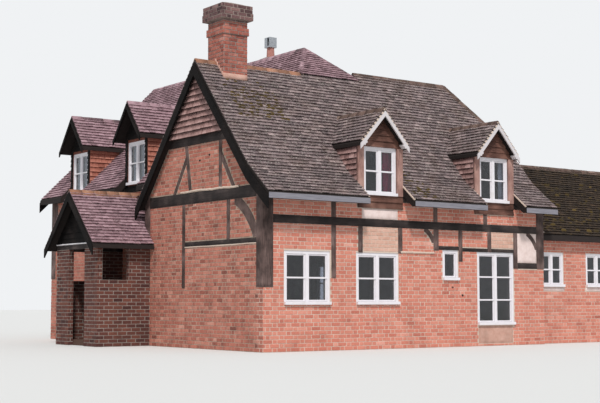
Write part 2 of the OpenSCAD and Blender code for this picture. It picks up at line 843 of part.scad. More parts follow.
module wing_rail_set() {
  on_wing_left() wing_side_rails();
  on_wing_right() wing_side_rails();
  on_wing_back() {
    timber(wall_t, wing_w - wall_t, storey_z, floor_z);
    timber(wall_t, wing_w - wall_t, tie_z, tie_top);
  }
}
module wing_rails() color("dimgray") intersection() {
  wing_inside();
  wing_rail_set();
}
module wing_side_rails() {
  timber(0, wing_l - wall_t, storey_z, floor_z);
  for (b = wing_bays) timber(b[0], b[1], wing_apron_z, sky_z);
}

module wing_infill() color("sienna") {
  difference() {
    intersection() {
      wing_inside();
      union() {
        for (x = [[wing_x, wing_x + frame_t], [wing_x1 - frame_t, wing_x1]])
          block(x, [range_w, wing_y1 - wall_t], [floor_z, wing_apron_z]);
        block([wing_x + wall_t, wing_x1 - wall_t], [wing_y1 - frame_t, wing_y1], [floor_z, sky_z]);
      }
    }
    wing_post_set();
    wing_rail_set();
    on_wing_back() holes([gable_window]);
  }
}

module wing_roof() color("saddlebrown") {
  difference() {
    union() {
      intersection() {
        along_y(ring(wing_line, roof_v, edge_h), range_w / 2, wing_y1 + wing_verge);
        along_x(wing_hip_section(0), -past, wing_x1 + past);
      }
      intersection() {
        along_y(under(wing_line, roof_v, edge_h), range_w / 2, wing_y1);
        difference() {
          along_x(wing_hip_section(0), wing_x, wing_x1);
          along_x(wing_hip_section(roof_v), -past, wing_x1 + past);
        }
      }
    }
    main_inside();
    wing_dormer_cuts();
    rear_shaft();
  }
}

module wing_bargeboards() color("black") {
  along_y(strip(wing_line, barge_drop, barge_h), wing_y1 + wing_verge, wing_y1 + wing_verge + barge_t);
}

// Dormers, in the frame of their wall: local X centred on the dormer
function dormer_line(w, over, eave, ridge) = [[-w / 2 - over, eave], [0, ridge], [w / 2 + over, eave]];
front_dormer_line = dormer_line(dormer_w, dormer_over, dormer_eave_z, dormer_ridge_z);
wing_dormer_line = dormer_line(wing_dormer_w, wing_dormer_over, wing_dormer_eave, wing_dormer_ridge);
front_dormer_window = [-dormer_win_w / 2, dormer_win_z, dormer_win_w, dormer_win_h, 2, 2];
wing_dormer_window = [-wing_win_w / 2, wing_win_z, wing_win_w, wing_win_h, 2, 2];
// Depth of a dormer, past the point where its ridge meets the slope behind
dormer_reach = 2600;

module at_front_dormers() {
  for (x = [dormer_1_x, dormer_2_x]) translate([x, 0, 0]) children();
}
module at_wing_dormers() {
  on_wing_left() for (y = [wing_dormer_1, wing_dormer_2]) translate([y, 0, 0]) children();
  on_wing_right() for (y = [wing_dormer_1, wing_dormer_2]) translate([y, 0, 0]) children();
}
module dormer_cut(line, w) {
  along_y(full(line, dormer_v, dormer_edge, -w / 2, w / 2), -past, dormer_reach);
}
module front_dormer_cuts() { at_front_dormers() dormer_cut(front_dormer_line, dormer_w); }
module wing_dormer_cuts() { at_wing_dormers() dormer_cut(wing_dormer_line, wing_dormer_w); }
module dormer_face(line, w, foot, win) {
  difference() {
    intersection() {
      block(about(0, w / 2), [0, cheek_t], [foot, sky_z]);
      along_y(under(line, dormer_v, dormer_edge), -past, past);
    }
    holes([win]);
  }
}
module dormer_cheeks(line, w) {
  intersection() {
    for (s = [-1, 1]) block(about(s * (w - cheek_t) / 2, cheek_t / 2), [cheek_t, dormer_reach], [base_z, sky_z]);
    along_y(under(line, dormer_v, dormer_edge), -past, dormer_reach);
  }
}
module dormer_shell(line, verge) { along_y(ring(line, dormer_v, dormer_edge), -verge, dormer_reach); }
module dormer_barge(line, verge) {
  along_y(strip(line, dormer_edge / 2, dormer_barge_h), -verge - board_t, -verge);
}

module front_dormer_walls() color("peru") {
  at_front_dormers() dormer_face(front_dormer_line, dormer_w, apron_z, front_dormer_window);
  difference() {
    at_front_dormers() dormer_cheeks(front_dormer_line, dormer_w);
    main_inside();
  }
}
module front_dormer_roofs() color("saddlebrown") difference() {
  at_front_dormers() dormer_shell(front_dormer_line, dormer_verge);
  main_inside();
}
module front_dormer_bargeboards() color("white") {
  at_front_dormers() dormer_barge(front_dormer_line, dormer_verge);
}
module wing_dormer_walls() color("chocolate") {
  at_wing_dormers() dormer_face(wing_dormer_line, wing_dormer_w, wing_apron_z, wing_dormer_window);
  difference() {
    at_wing_dormers() dormer_cheeks(wing_dormer_line, wing_dormer_w);
    wing_inside();
  }
}
module wing_dormer_roofs() color("saddlebrown") difference() {
  at_wing_dormers() dormer_shell(wing_dormer_line, wing_dormer_verge);
  wing_inside();
}
module wing_dormer_bargeboards() color("black") {
  at_wing_dormers() dormer_barge(wing_dormer_line, wing_dormer_verge);
}

// Windows
module on_extension() { translate([0, ext_y, 0]) children(); }
module ground_windows() color("white") {
  for (w = front_windows) window(w);
  on_extension() for (w = ext_windows) window(w);
  on_wing_back() for (w = wing_windows) window(w);
  on_wing_right() for (w = side_windows) window(w);
}
module ground_glass() color("lightblue", 0.4) {
  for (w = front_windows) glass(w);
  on_extension() for (w = ext_windows) glass(w);
  on_wing_back() for (w = wing_windows) glass(w);
  on_wing_right() for (w = side_windows) glass(w);
}
module upper_windows() color("white") {
  at_front_dormers() window(front_dormer_window);
  at_wing_dormers() window(wing_dormer_window);
  on_wing_back() window(gable_window);
}
module upper_glass() color("lightblue", 0.4) {
  at_front_dormers() glass(front_dormer_window);
  at_wing_dormers() glass(wing_dormer_window);
  on_wing_back() glass(gable_window);
}

// Chimneys
// Corbelled head: courses that step out and in again around a shaft
module head(x, y, z, steps) {
  for (i = [0 : len(steps) - 1])
    block(x + steps[i] * corbel * [-1, 1], y + steps[i] * corbel * [-1, 1],
          [z + i * course, z + (i + 1) * course]);
}
module main_chimney() color("firebrick") {
  x = [stack_x, stack_x + stack_w];
  y = [(range_w - stack_d) / 2, (range_w + stack_d) / 2];
  difference() {
    union() {
      main_shaft();
      head(x, y, stack_z - 8 * course, [1, 1, 0, 0, 1, 2, 3, 3]);
    }
    translate([x[0] + (stack_w - flue) / 2, y[0] + (stack_d - flue) / 2, stack_z - past]) cube([flue, flue, 2 * past]);
  }
}
module rear_chimney() color("firebrick") {
  difference() {
    union() {
      rear_shaft();
      head(about(rear_stack_x, rear_stack_w / 2), about(rear_stack_y, rear_stack_w / 2),
           rear_stack_z - 4 * course, [1, 2, 2, 1]);
    }
    translate([rear_stack_x, rear_stack_y, rear_stack_z - past])
      cylinder(r = pot_r - pot_t, h = 2 * past, $fn = 64);
  }
}
// Tapered pot under a square sheet cowl with a slot at the front of two sides
module chimney_pot() color("orangered") {
  foot = pot_h - cowl_lap;
  head = foot + cowl_h;
  half = cowl_w / 2;
  flue_r = pot_r - pot_taper - pot_t;
  translate([rear_stack_x, rear_stack_y, rear_stack_z]) {
    rotate_extrude($fn = 64)
      polygon([[pot_r - pot_t, 0], [pot_r, 0], [pot_r - pot_taper, pot_h], [flue_r, pot_h]]);
    difference() {
      block(about(0, half), about(0, half), [foot, head]);
      block(about(0, half - cowl_t), about(0, half - cowl_t), [foot + cowl_t, head - cowl_t]);
      cylinder(r = flue_r, h = pot_h, $fn = 64);
      block(about(0, 2 * half), [2 * cowl_t - half, 2 * cowl_t - half + cowl_slot],
            [pot_h + cowl_t, head - 2 * cowl_t]);
    }
  }
}

// Porch
porch_door_y = [porch_mid - porch_door_w / 2, porch_mid + porch_door_w / 2];
module porch_inside() { along_x(under(porch_line, dormer_v, dormer_edge), -porch_l - past, wing_x); }
module porch_walls() color("brown") {
  for (y = [[porch_y, porch_door_y[0]], [porch_door_y[1], porch_y1]])
    block([-porch_l, -porch_l + porch_t], y, [0, porch_plate_z]);
  for (s = [[porch_y, 0], [porch_y1 - porch_t, wing_x]]) {
    block([-porch_l + porch_t, s[1]], [s[0], s[0] + porch_t], [0, dado_z]);
    block([-side_jamb, s[1]], [s[0], s[0] + porch_t], [0, porch_plate_z]);
  }
}
module porch_frame() color("dimgray") intersection() {
  porch_inside();
  union() {
    block([-porch_l, -porch_l + porch_t], [porch_y, porch_y1], [porch_plate_z, porch_plate_z + porch_plate_h]);
    for (s = [[porch_y, 0], [porch_y1 - porch_t, wing_x]])
      block([-porch_l, s[1]], [s[0], s[0] + porch_t], [porch_plate_z, porch_plate_z + porch_plate_h]);
  }
}
module porch_gable() color("dimgray") intersection() {
  porch_inside();
  block([-porch_l, -porch_l + board_t], [porch_y, porch_y1], [porch_plate_z + porch_plate_h, sky_z]);
}
module porch_roof() color("saddlebrown") {
  difference() {
    along_x(ring(porch_line, dormer_v, dormer_edge), -porch_l - porch_verge, wing_x);
    block([0, past], [0, range_w], [0, sky_z]);
    main_roof_volume();
  }
}
module main_roof_volume() {
  along_x(ring(low_line, roof_v, edge_h), -verge_over - barge_t, wing_x + past);
  main_bargeboards();
}
module porch_bargeboards() color("black") {
  along_x(strip(porch_line, dormer_edge / 2, porch_barge_h), -porch_l - porch_verge - board_t, -porch_l - porch_verge);
}
module porch_floor() color("gray") {
  difference() {
    block([-porch_l + porch_t, wing_x], [porch_y + porch_t, porch_y1 - porch_t], [0, slab_t]);
    block([0, past], [0, range_w], [-past, sky_z]);
  }
}
module at_house_door() { on_wing_left() translate([porch_mid - range_w, 0, slab_t]) children(); }
module door_frame() color("black") at_house_door() difference() {
  block(about(0, door_w / 2 + jamb), [reveal, reveal + casing_t], [0, door_h + jamb]);
  block(about(0, door_w / 2), [-past, past], [-past, door_h]);
}
module front_door() color("black") at_house_door() {
  block(about(0, door_w / 2), [reveal + casing_t - door_t, reveal + casing_t], [0, door_h]);
}

// Extension
module extension_inside() { along_x(under(ext_line, roof_v, edge_h), range_l, ext_x1 + past); }
module extension_side_walls() color("brown") difference() {
  for (y = [[ext_y, ext_y + wall_t], [ext_y1 - wall_t, ext_y1]]) {
    block([range_l, ext_x1], y, [0, base_z]);
    intersection() {
      extension_inside();
      block([range_l, ext_x1], y, [base_z, ext_eave_z]);
    }
  }
  on_extension() holes(ext_windows);
}
module extension_end_wall() color("brown") {
  y = [ext_y + wall_t, ext_y1 - wall_t];
  block([ext_x1 - wall_t, ext_x1], y, [0, base_z]);
  intersection() {
    extension_inside();
    block([ext_x1 - wall_t, ext_x1], y, [base_z, sky_z]);
  }
}
module extension_roof() color("saddlebrown") {
  difference() {
    along_x(ring(ext_line, roof_v, edge_h), range_l, ext_x1 + ext_verge);
    block([range_l, range_l + end_over], [0, range_w], [tie_top - hanging_lap, sky_z]);
  }
}

range_floors();
wing_floors();
front_wall();
gable_wall();
end_wall();
back_wall();
front_infill();
gable_infill();
front_posts();
front_rails();
gable_studs();
gable_beams();
frame_braces();
gable_tiles();
main_roof();
main_bargeboards();
wing_side_walls();
wing_back_wall();
wing_infill();
wing_posts();
wing_rails();
wing_roof();
wing_bargeboards();
front_dormer_walls();
front_dormer_roofs();
front_dormer_bargeboards();
wing_dormer_walls();
wing_dormer_roofs();
wing_dormer_bargeboards();
ground_windows();
upper_windows();
ground_glass();
upper_glass();
main_chimney();
rear_chimney();
chimney_pot();
porch_walls();
porch_frame();
porch_gable();
porch_roof();
porch_bargeboards();
porch_floor();
door_frame();
front_door();
extension_side_walls();
extension_end_wall();
extension_roof();
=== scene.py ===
"""Half timbered house, dressed in brick, clay tile, oak, lime plaster and painted joinery.

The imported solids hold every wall, timber and roof. This script reads the flat faces of those
solids and lays bricks, tiles, boards and mouldings on them, course by course, so that each
course stops where the face stops. Lengths are in metres.
"""

import logging
import math
from dataclasses import dataclass
from enum import Enum
from itertools import combinations, pairwise
from typing import Iterable, NamedTuple, Optional, Sequence

import bpy
import numpy as np
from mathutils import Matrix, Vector


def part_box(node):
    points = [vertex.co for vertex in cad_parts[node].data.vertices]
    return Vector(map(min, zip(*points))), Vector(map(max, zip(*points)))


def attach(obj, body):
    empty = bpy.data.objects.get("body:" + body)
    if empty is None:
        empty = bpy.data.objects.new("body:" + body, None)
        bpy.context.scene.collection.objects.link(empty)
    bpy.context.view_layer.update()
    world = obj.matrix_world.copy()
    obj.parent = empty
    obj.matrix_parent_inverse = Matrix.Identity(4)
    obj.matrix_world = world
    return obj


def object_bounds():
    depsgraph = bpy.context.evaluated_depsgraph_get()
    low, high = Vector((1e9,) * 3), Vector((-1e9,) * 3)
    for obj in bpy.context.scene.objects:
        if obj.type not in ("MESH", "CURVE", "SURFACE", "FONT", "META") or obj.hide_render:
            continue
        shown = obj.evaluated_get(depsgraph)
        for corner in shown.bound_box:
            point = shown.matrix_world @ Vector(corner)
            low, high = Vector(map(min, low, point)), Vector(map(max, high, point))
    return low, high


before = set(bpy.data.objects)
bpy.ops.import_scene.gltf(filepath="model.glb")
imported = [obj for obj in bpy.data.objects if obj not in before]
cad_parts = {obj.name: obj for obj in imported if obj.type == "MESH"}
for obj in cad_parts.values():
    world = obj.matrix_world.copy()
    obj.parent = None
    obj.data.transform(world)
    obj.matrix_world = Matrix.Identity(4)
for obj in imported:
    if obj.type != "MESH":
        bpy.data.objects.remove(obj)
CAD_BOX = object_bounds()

LOG = logging.getLogger("house")
Array = np.ndarray
Material = bpy.types.Material
Names = str | tuple[str, ...]
Rng = np.random.Generator
Socket = bpy.types.NodeSocket
Span = tuple[float, float]
Tree = bpy.types.NodeTree

MM = 0.001
FAR = 99  # past the edge of every face
# Open sides of a block whose corners are its lower ring and then its upper ring.
BLOCK = [(4, 5, 6, 7), (0, 1, 5, 4), (1, 2, 6, 5), (2, 3, 7, 6), (3, 0, 4, 7)]


# ---- Flat faces of the solids ----


def common(first: Sequence[Span], second: Sequence[Span]) -> list[Span]:
    """Gives the overlaps of two sets of spans, those under 1 mm left out."""
    both = [(max(a, c), min(b, d)) for a, b in first for c, d in second]
    return sorted((a, b) for a, b in both if b - a > MM)


def without(spans: Sequence[Span], gone: Iterable[Span]) -> list[Span]:
    """Takes some spans out of others.

    Args:
        spans: The spans, in rising order.
        gone: What is taken out of them.

    Returns:
        What is left and is over 1 mm long.
    """
    left = list(spans)
    for low, high in gone:
        left = [part for a, b in left for part in ((a, min(b, low)), (max(a, high), b))
                if part[1] - part[0] > MM]
    return left


class Facing(Enum):
    """Directions that a face of the house looks in."""

    FRONT = (0.0, -1.0, 0.0)
    BACK = (0.0, 1.0, 0.0)
    LEFT = (-1.0, 0.0, 0.0)
    RIGHT = (1.0, 0.0, 0.0)
    SLOPE = (0.0, 0.0, 1.0)


SIDES = (Facing.LEFT, Facing.RIGHT)


class Rect(NamedTuple):
    """Rectangle on a face: u is level and v runs up the face."""

    u0: float
    u1: float
    v0: float
    v1: float

    def outside(self) -> list["Rect"]:
        """Keeps all of a face bare but this rectangle.

        Returns:
            Four rectangles that cover the rest of the face.
        """
        u0, u1, v0, v1 = self
        return [Rect(-FAR, u0, -FAR, FAR), Rect(u1, FAR, -FAR, FAR), Rect(u0, u1, -FAR, v0),
                Rect(u0, u1, v1, FAR)]


@dataclass(frozen=True)
class Facet:
    """Flat part of a solid's surface with its own frame: u level, v up the face, n outwards."""

    corners: Array
    n: Array

    @property
    def u(self) -> Array:
        """Level direction, to the right of someone who looks at the face."""
        level = np.cross((0.0, 0.0, 1.0), self.n)
        return level / np.linalg.norm(level)

    @property
    def v(self) -> Array:
        """Direction up the face."""
        return np.cross(self.n, self.u)

    @property
    def offset(self) -> float:
        """Distance of the face's plane from the origin, along n."""
        return float(np.median(self.corners.reshape(-1, 3) @ self.n))

    @property
    def flat(self) -> Array:
        """Triangles of the face as (u, v) pairs."""
        return np.stack([self.corners @ self.u, self.corners @ self.v], axis=-1)

    @property
    def levels(self) -> Array:
        """Heights of all corners, in rising order."""
        return np.unique(np.round(self.flat[..., 1].ravel(), 4))

    @property
    def rise(self) -> float:
        """Height of the whole face."""
        return float(self.levels[-1] - self.levels[0])

    @property
    def centre(self) -> Array:
        """Mean of the corners."""
        return self.corners.reshape(-1, 3).mean(axis=0)

    @property
    def foot(self) -> float:
        """Lowest place above the ground."""
        return float(self.corners[..., 2].min())

    def spans(self, height: float) -> list[Span]:
        """Cuts the face with a level line.

        Each triangle edge from a to b meets the line at a + (b - a) (h - a_v) / (b_v - a_v),
        and the lowest and highest meeting of a triangle bound its share of the span.

        Args:
            height: The line's place along v.

        Returns:
            Spans of u that the face covers there, in rising order.
        """
        start = self.flat
        end = np.roll(start, -1, axis=1)
        rise = end[..., 1] - start[..., 1]
        part = (height - start[..., 1]) / np.where(np.abs(rise) < 1e-9, 1.0, rise)
        meets = (np.abs(rise) > 1e-9) & (part >= 0) & (part <= 1)
        at = start[..., 0] + part * (end[..., 0] - start[..., 0])
        low = np.where(meets, at, np.inf).min(axis=1)
        high = np.where(meets, at, -np.inf).max(axis=1)
        found: list[Span] = []
        for a, b in sorted((a, b) for a, b in zip(low, high) if b - a > 1e-5):
            if found and a <= found[-1][1] + 2 * MM:
                found[-1] = (found[-1][0], max(b, found[-1][1]))
            else:
                found.append((float(a), float(b)))
        return found

    def free(self, height: float, keep_out: Sequence[Rect]) -> list[Span]:
        """Spans at a height that no rectangle keeps bare."""
        return without(self.spans(height), [(r.u0, r.u1) for r in keep_out if r.v0 < height < r.v1])

    def place(self, points: Array) -> Array:
        """Turns (u, v, height over the face) into places in the house's frame."""
        return (points[..., :1] * self.u + points[..., 1:2] * self.v
                + (self.offset + points[..., 2:3]) * self.n)

    def over(self, y: Array | float) -> Array | float:
        """Height above the ground of a slope that falls to the front or the back, at y."""
        return (self.offset - self.n[1] * y) / self.n[2]


def triangles(nodes: Names) -> Array:
    """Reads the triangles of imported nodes.

    Args:
        nodes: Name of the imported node, or several names.

    Returns:
        Their corners as (count, 3 corners, 3).
    """
    found = []
    for node in (nodes,) if isinstance(nodes, str) else nodes:
        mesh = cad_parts[node].data
        mesh.calc_loop_triangles()
        points = np.empty(len(mesh.vertices) * 3, np.float32)
        mesh.vertices.foreach_get("co", points)
        index = np.empty(len(mesh.loop_triangles) * 3, np.int32)
        mesh.loop_triangles.foreach_get("vertices", index)
        found.append(points.reshape(-1, 3)[index].reshape(-1, 3, 3).astype(float))
    return np.concatenate(found)


def facets(nodes: Names, facing: Facing, outermost: bool = False) -> list[Facet]:
    """Collects the flat faces of some nodes that look one way.

    The largest triangle left seeds a face, which takes every triangle of its plane. Faces of
    two nodes that lie in one plane are one face, so that courses run on over their joint.

    Args:
        nodes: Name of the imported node, or several names.
        facing: The way that the faces look. A slope looks up and to a side.
        outermost: Whether only the outermost plane is wanted.

    Returns:
        The faces, the largest seed first.
    """
    tri = triangles(nodes)
    cross = np.cross(tri[:, 1] - tri[:, 0], tri[:, 2] - tri[:, 0])
    area = np.linalg.norm(cross, axis=1) / 2
    normal = cross / np.maximum(2 * area, 1e-12)[:, None]
    if facing is Facing.SLOPE:
        wanted = (normal[:, 2] > 0.25) & (normal[:, 2] < 0.97)
    else:
        wanted = normal @ np.array(facing.value) > 0.98
    left = np.flatnonzero(wanted & (area > 1e-6))
    found = []
    while len(left):
        seed = left[np.argmax(area[left])]
        n = normal[seed]
        off = np.abs((tri[left] - tri[seed, 0]) @ n).max(axis=1)
        mine = ((off < 1.5 * MM) & (normal[left] @ n > 0.99)) | (left == seed)
        found.append(Facet(tri[left[mine]], n))
        left = left[~mine]
    if outermost and found:
        edge = max(f.offset for f in found)
        found = [f for f in found if f.offset > edge - 2 * MM]
    return found


def plane(nodes: Names, facing: Facing) -> Facet:
    """Gives the outermost face of some nodes that looks one way."""
    return facets(nodes, facing, True)[0]


def slopes(node: str) -> list[Facet]:
    """Gives the slopes of a packed roof."""
    return facets(node, Facing.SLOPE)


class Solid(NamedTuple):
    """One solid of a node: its lowest and highest corner, and whether it is a plain box."""

    low: Array
    high: Array
    plain: bool


def solids(node: str) -> list[Solid]:
    """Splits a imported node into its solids.

    Corners within a tenth of a millimetre are one, and triangles that share one are one solid.

    Args:
        node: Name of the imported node.

    Returns:
        Its solids.
    """
    corners = np.round(triangles(node).reshape(-1, 3), 4)
    keys, index = np.unique(corners, axis=0, return_inverse=True)
    index = index.reshape(-1, 3)
    label, fresh = None, np.arange(len(keys))
    while label is None or (fresh != label).any():
        label, fresh = fresh, fresh.copy()
        np.minimum.at(fresh, index.ravel(), np.repeat(label[index].min(axis=1), 3))
    found = []
    for name in np.unique(label):
        mine = keys[label == name]
        low, high = mine.min(axis=0), mine.max(axis=0)
        to_side = np.minimum(np.abs(mine - low), np.abs(mine - high))
        found.append(Solid(low, high, bool((to_side < MM).all())))
    return found


def ordered(node: str, axis: int, front: bool = False) -> list[Solid]:
    """Sorts a node's solids by their lowest place along an axis.

    Args:
        node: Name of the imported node.
        axis: 0 for x, 1 for y, 2 for z.
        front: Whether only those that stand before the front wall's middle are wanted.

    Returns:
        The solids.
    """
    return sorted((s for s in solids(node) if s.low[1] < 0 or not front), key=lambda s: s.low[axis])


# ---- Meshes ----


@dataclass
class Shell:
    """Corners, four-sided faces and a tone from 0 to 1 for each corner."""

    points: Array
    quads: Array
    tone: Array

    @classmethod
    def repeated(cls, points: Array, pattern: Sequence[Sequence[int]], tone: Array) -> "Shell":
        """Builds copies of one small form.

        Args:
            points: Corners as (copies, corners, 3).
            pattern: Faces of one copy.
            tone: One tone for each copy, or one for each of its corners.

        Returns:
            The joined shell.
        """
        copies, corners = points.shape[:2]
        quads = np.asarray(pattern)[None] + (np.arange(copies) * corners)[:, None, None]
        each = np.repeat(tone, corners) if tone.ndim == 1 else tone.ravel()
        return cls(points.reshape(-1, 3), quads.reshape(-1, 4), each)

    @classmethod
    def grid(cls, points: Array) -> "Shell":
        """Builds one sheet.

        Args:
            points: Its corners on a grid of (rows, columns, 3).

        Returns:
            The sheet, all of one tone.
        """
        rows, columns = points.shape[:2]
        index = np.arange(rows * columns).reshape(rows, columns)
        quads = np.stack([index[:-1, :-1], index[:-1, 1:], index[1:, 1:], index[1:, :-1]], axis=-1)
        return cls(points.reshape(-1, 3), quads.reshape(-1, 4), np.full(rows * columns, 0.5))

    @classmethod
    def joined(cls, shells: Sequence["Shell"]) -> "Shell":
        """Puts several shells in one.

        Args:
            shells: The shells.

        Returns:
            One shell, whose faces count on through the corners of them all.
        """
        shift = np.cumsum([0] + [len(s.points) for s in shells[:-1]])
        return cls(np.concatenate([s.points for s in shells]),
                   np.concatenate([s.quads + k for s, k in zip(shells, shift)]),
                   np.concatenate([s.tone for s in shells]))


def make_piece(name: str, shells: Sequence[Shell], material: Material,
               smooth: bool = False) -> bpy.types.Object:
    """Makes one piece of the house and sets it on the body.

    Args:
        name: Name of the piece.
        shells: Its surfaces.
        material: Its finish.
        smooth: Whether its faces are shaded as one curved surface.

    Returns:
        The object.
    """
    shell = Shell.joined([s for s in shells if len(s.points)])
    mesh = bpy.data.meshes.new(name)
    mesh.vertices.add(len(shell.points))
    mesh.vertices.foreach_set("co", shell.points.astype(np.float32).ravel())
    mesh.loops.add(shell.quads.size)
    mesh.loops.foreach_set("vertex_index", shell.quads.astype(np.int32).ravel())
    mesh.polygons.add(len(shell.quads))
    mesh.polygons.foreach_set("loop_start", np.arange(0, shell.quads.size, 4, dtype=np.int32))
    mesh.polygons.foreach_set("use_smooth", np.full(len(shell.quads), smooth))
    mesh.update(calc_edges=True)
    tone = mesh.attributes.new("tone", "FLOAT", "POINT")
    tone.data.foreach_set("value", np.clip(shell.tone, 0, 1).astype(np.float32))
    mesh.materials.append(material)
    piece = bpy.data.objects.new(name, mesh)
    bpy.context.scene.collection.objects.link(piece)
    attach(piece, "root")
    LOG.info("%s: %d faces", name, len(shell.quads))
    return piece


# ---- Finishes ----


def linear(colour: str) -> tuple[float, float, float, float]:
    """Turns a colour into linear values.

    A part c becomes c / 12.92, or ((c + 0.055) / 1.055) to the power 2.4 where it is over 0.04.

    Args:
        colour: An sRGB hex colour such as #A04030.

    Returns:
        Red, green and blue, with an alpha of 1.
    """
    parts = [int(colour[i:i + 2], 16) / 255 for i in (1, 3, 5)]
    r, g, b = (c / 12.92 if c <= 0.04045 else ((c + 0.055) / 1.055) ** 2.4 for c in parts)
    return r, g, b, 1.0


def add_node(tree: Tree, kind: str, sockets: Optional[dict] = None, colours: Sequence[str] = (),
             **settings) -> bpy.types.Node:
    """Adds a node with its settings, values and links.

    Args:
        tree: The material's node tree.
        kind: Blender's name of the node type after ShaderNode.
        sockets: Input name or number to a value, an output socket or a node. A node feeds its
            first output, or its third where it mixes colours.
        colours: Hex colours that are spread evenly over the node's ramp.
        **settings: Properties of the node.

    Returns:
        The node.
    """
    node = tree.nodes.new("ShaderNode" + kind)
    for key, value in settings.items():
        setattr(node, key, value)
    for key, value in (sockets or {}).items():
        if isinstance(value, bpy.types.Node):
            value = value.outputs[2 if value.bl_idname == "ShaderNodeMix" else 0]
        if isinstance(value, Socket):
            tree.links.new(value, node.inputs[key])
        else:
            node.inputs[key].default_value = value
    if colours:
        ramp = node.color_ramp.elements
        while len(ramp) < len(colours):
            ramp.new(1.0)
        for i, (element, colour) in enumerate(zip(ramp, colours)):
            element.position, element.color = i / (len(colours) - 1), linear(colour)
    return node


@dataclass(frozen=True)
class Finish:
    """Finish of one material, worked out from places on the object."""

    name: str

    def paint(self, tree: Tree, place: Socket) -> tuple[dict, dict]:
        """Adds the nodes of colour and relief.

        Args:
            tree: The material's node tree.
            place: Object coordinates.

        Returns:
            Sockets of the bump node and of the shader.
        """
        raise NotImplementedError

    def build(self) -> Material:
        """Makes the material from what paint gives.

        Returns:
            The material.
        """
        material = bpy.data.materials.new(self.name)
        material.use_nodes = True
        tree = material.node_tree
        tree.nodes.clear()
        relief, look = self.paint(tree, add_node(tree, "TexCoord").outputs["Object"])
        bump = add_node(tree, "Bump", relief)
        shader = add_node(tree, "BsdfPrincipled", {"Normal": bump, **look})
        add_node(tree, "OutputMaterial", {"Surface": shader})
        return material


@dataclass(frozen=True)
class Mineral(Finish):
    """Fired clay, stone or mortar: matt and grainy, each unit a tone of its own.

    grain is the size of the fine grain in millimetres, patch the size of its stains, mottle the
    size of its clouds and growth_size that of its lichen.
    """

    colours: tuple[str, ...]
    stain: str = "#4A3A32"
    stain_share: float = 0.35
    grain: float = 8.0
    patch: float = 450.0
    mottle: float = 30.0
    relief: float = 0.0015
    tone_share: float = 0.7
    growth: Optional[str] = None
    growth_share: float = 0.45
    growth_size: float = 60.0

    def paint(self, tree: Tree, place: Socket) -> tuple[dict, dict]:
        """Lets tone and clouds pick the colour: clouds (1.25 - share) + tone share - 0.12.

        Stains and lichen lie over it. A pattern of s millimetres has a scale of 1000 / s.

        Args:
            tree: The material's node tree.
            place: Object coordinates.

        Returns:
            Sockets of the bump node and of the shader.
        """
        tone = add_node(tree, "Attribute", attribute_name="tone").outputs["Fac"]
        mottle = add_node(tree, "TexNoise", {
            "Vector": place, "Scale": 1000 / self.mottle, "Detail": 5.0, "Roughness": 0.6})
        own = add_node(tree, "Math", {0: tone, 1: self.tone_share}, operation="MULTIPLY")
        other = add_node(tree, "Math", {0: mottle, 1: 1.25 - self.tone_share, 2: own},
                         operation="MULTIPLY_ADD")
        shade = add_node(tree, "Math", {0: other, 1: 0.12}, operation="SUBTRACT")
        colour = add_node(tree, "ValToRGB", {"Fac": shade}, self.colours)
        layers = [(self.patch, 4.0, 0.65, 0.45, 0.75, self.stain_share, self.stain)]
        if self.growth:
            layers.append((self.growth_size, 6.0, 0.7, 0.56, 0.66, self.growth_share, self.growth))
        for size, detail, rough, low, high, share, tint in layers:
            spots = add_node(tree, "TexNoise", {
                "Vector": place, "Scale": 1000 / size, "Detail": detail, "Roughness": rough})
            edge = add_node(tree, "MapRange", {
                "Value": spots, "From Min": low, "From Max": high, "To Max": share})
            colour = add_node(tree, "Mix", {0: edge, 6: colour, 7: linear(tint)}, data_type="RGBA")
        fine = add_node(tree, "TexNoise", {
            "Vector": place, "Scale": 1000 / self.grain, "Detail": 4.0, "Roughness": 0.7})
        return ({"Height": fine, "Strength": 0.8, "Distance": self.relief},
                {"Base Color": colour, "Roughness": 0.88, "Specular IOR Level": 0.25})


@dataclass(frozen=True)
class Timber(Finish):
    """Sawn or hewn wood: long fibres, dark shakes and weathered patches.

    along is the direction of the fibres, and fibre their width in millimetres.
    """

    colours: tuple[str, ...]
    along: tuple[float, float, float]
    fibre: float = 9.0
    shine: float = 0.3

    def paint(self, tree: Tree, place: Socket) -> tuple[dict, dict]:
        """Draws noise out 25 times along the fibres, under weathering and thin dark shakes.

        Args:
            tree: The material's node tree.
            place: Object coordinates.

        Returns:
            Sockets of the bump node and of the shader.
        """
        across = 1000 / self.fibre
        scale = tuple(across if part == 0 else across / 25 for part in self.along)
        drawn = add_node(tree, "Mapping", {"Vector": place, "Scale": scale})
        fibres = add_node(tree, "TexNoise", {
            "Vector": drawn, "Scale": 1.0, "Detail": 6.0, "Roughness": 0.65})
        weather = add_node(tree, "TexNoise", {"Vector": place, "Scale": 2.5, "Detail": 3.0})
        mixed = add_node(tree, "Math", {0: fibres, 1: 0.6, 2: weather}, operation="MULTIPLY_ADD")
        tone = add_node(tree, "MapRange", {"Value": mixed, "From Min": 0.5, "From Max": 1.1})
        ramp = add_node(tree, "ValToRGB", {"Fac": tone}, self.colours)
        shake = add_node(tree, "TexNoise", {"Vector": drawn, "Scale": 0.35, "Detail": 1.0})
        narrow = add_node(tree, "Math", {0: shake, 1: 0.5}, operation="SUBTRACT")
        depth = add_node(tree, "Math", {0: narrow}, operation="ABSOLUTE")
        crack = add_node(tree, "MapRange", {
            "Value": depth, "From Max": 0.02, "To Min": 0.35, "To Max": 1.0})
        colour = add_node(tree, "Mix", {0: 1.0, 6: ramp, 7: crack}, data_type="RGBA",
                          blend_type="MULTIPLY")
        height = add_node(tree, "Math", {0: fibres, 1: crack}, operation="ADD")
        return ({"Height": height, "Strength": 0.9, "Distance": 0.003},
                {"Base Color": colour, "Roughness": 0.75, "Specular IOR Level": self.shine})


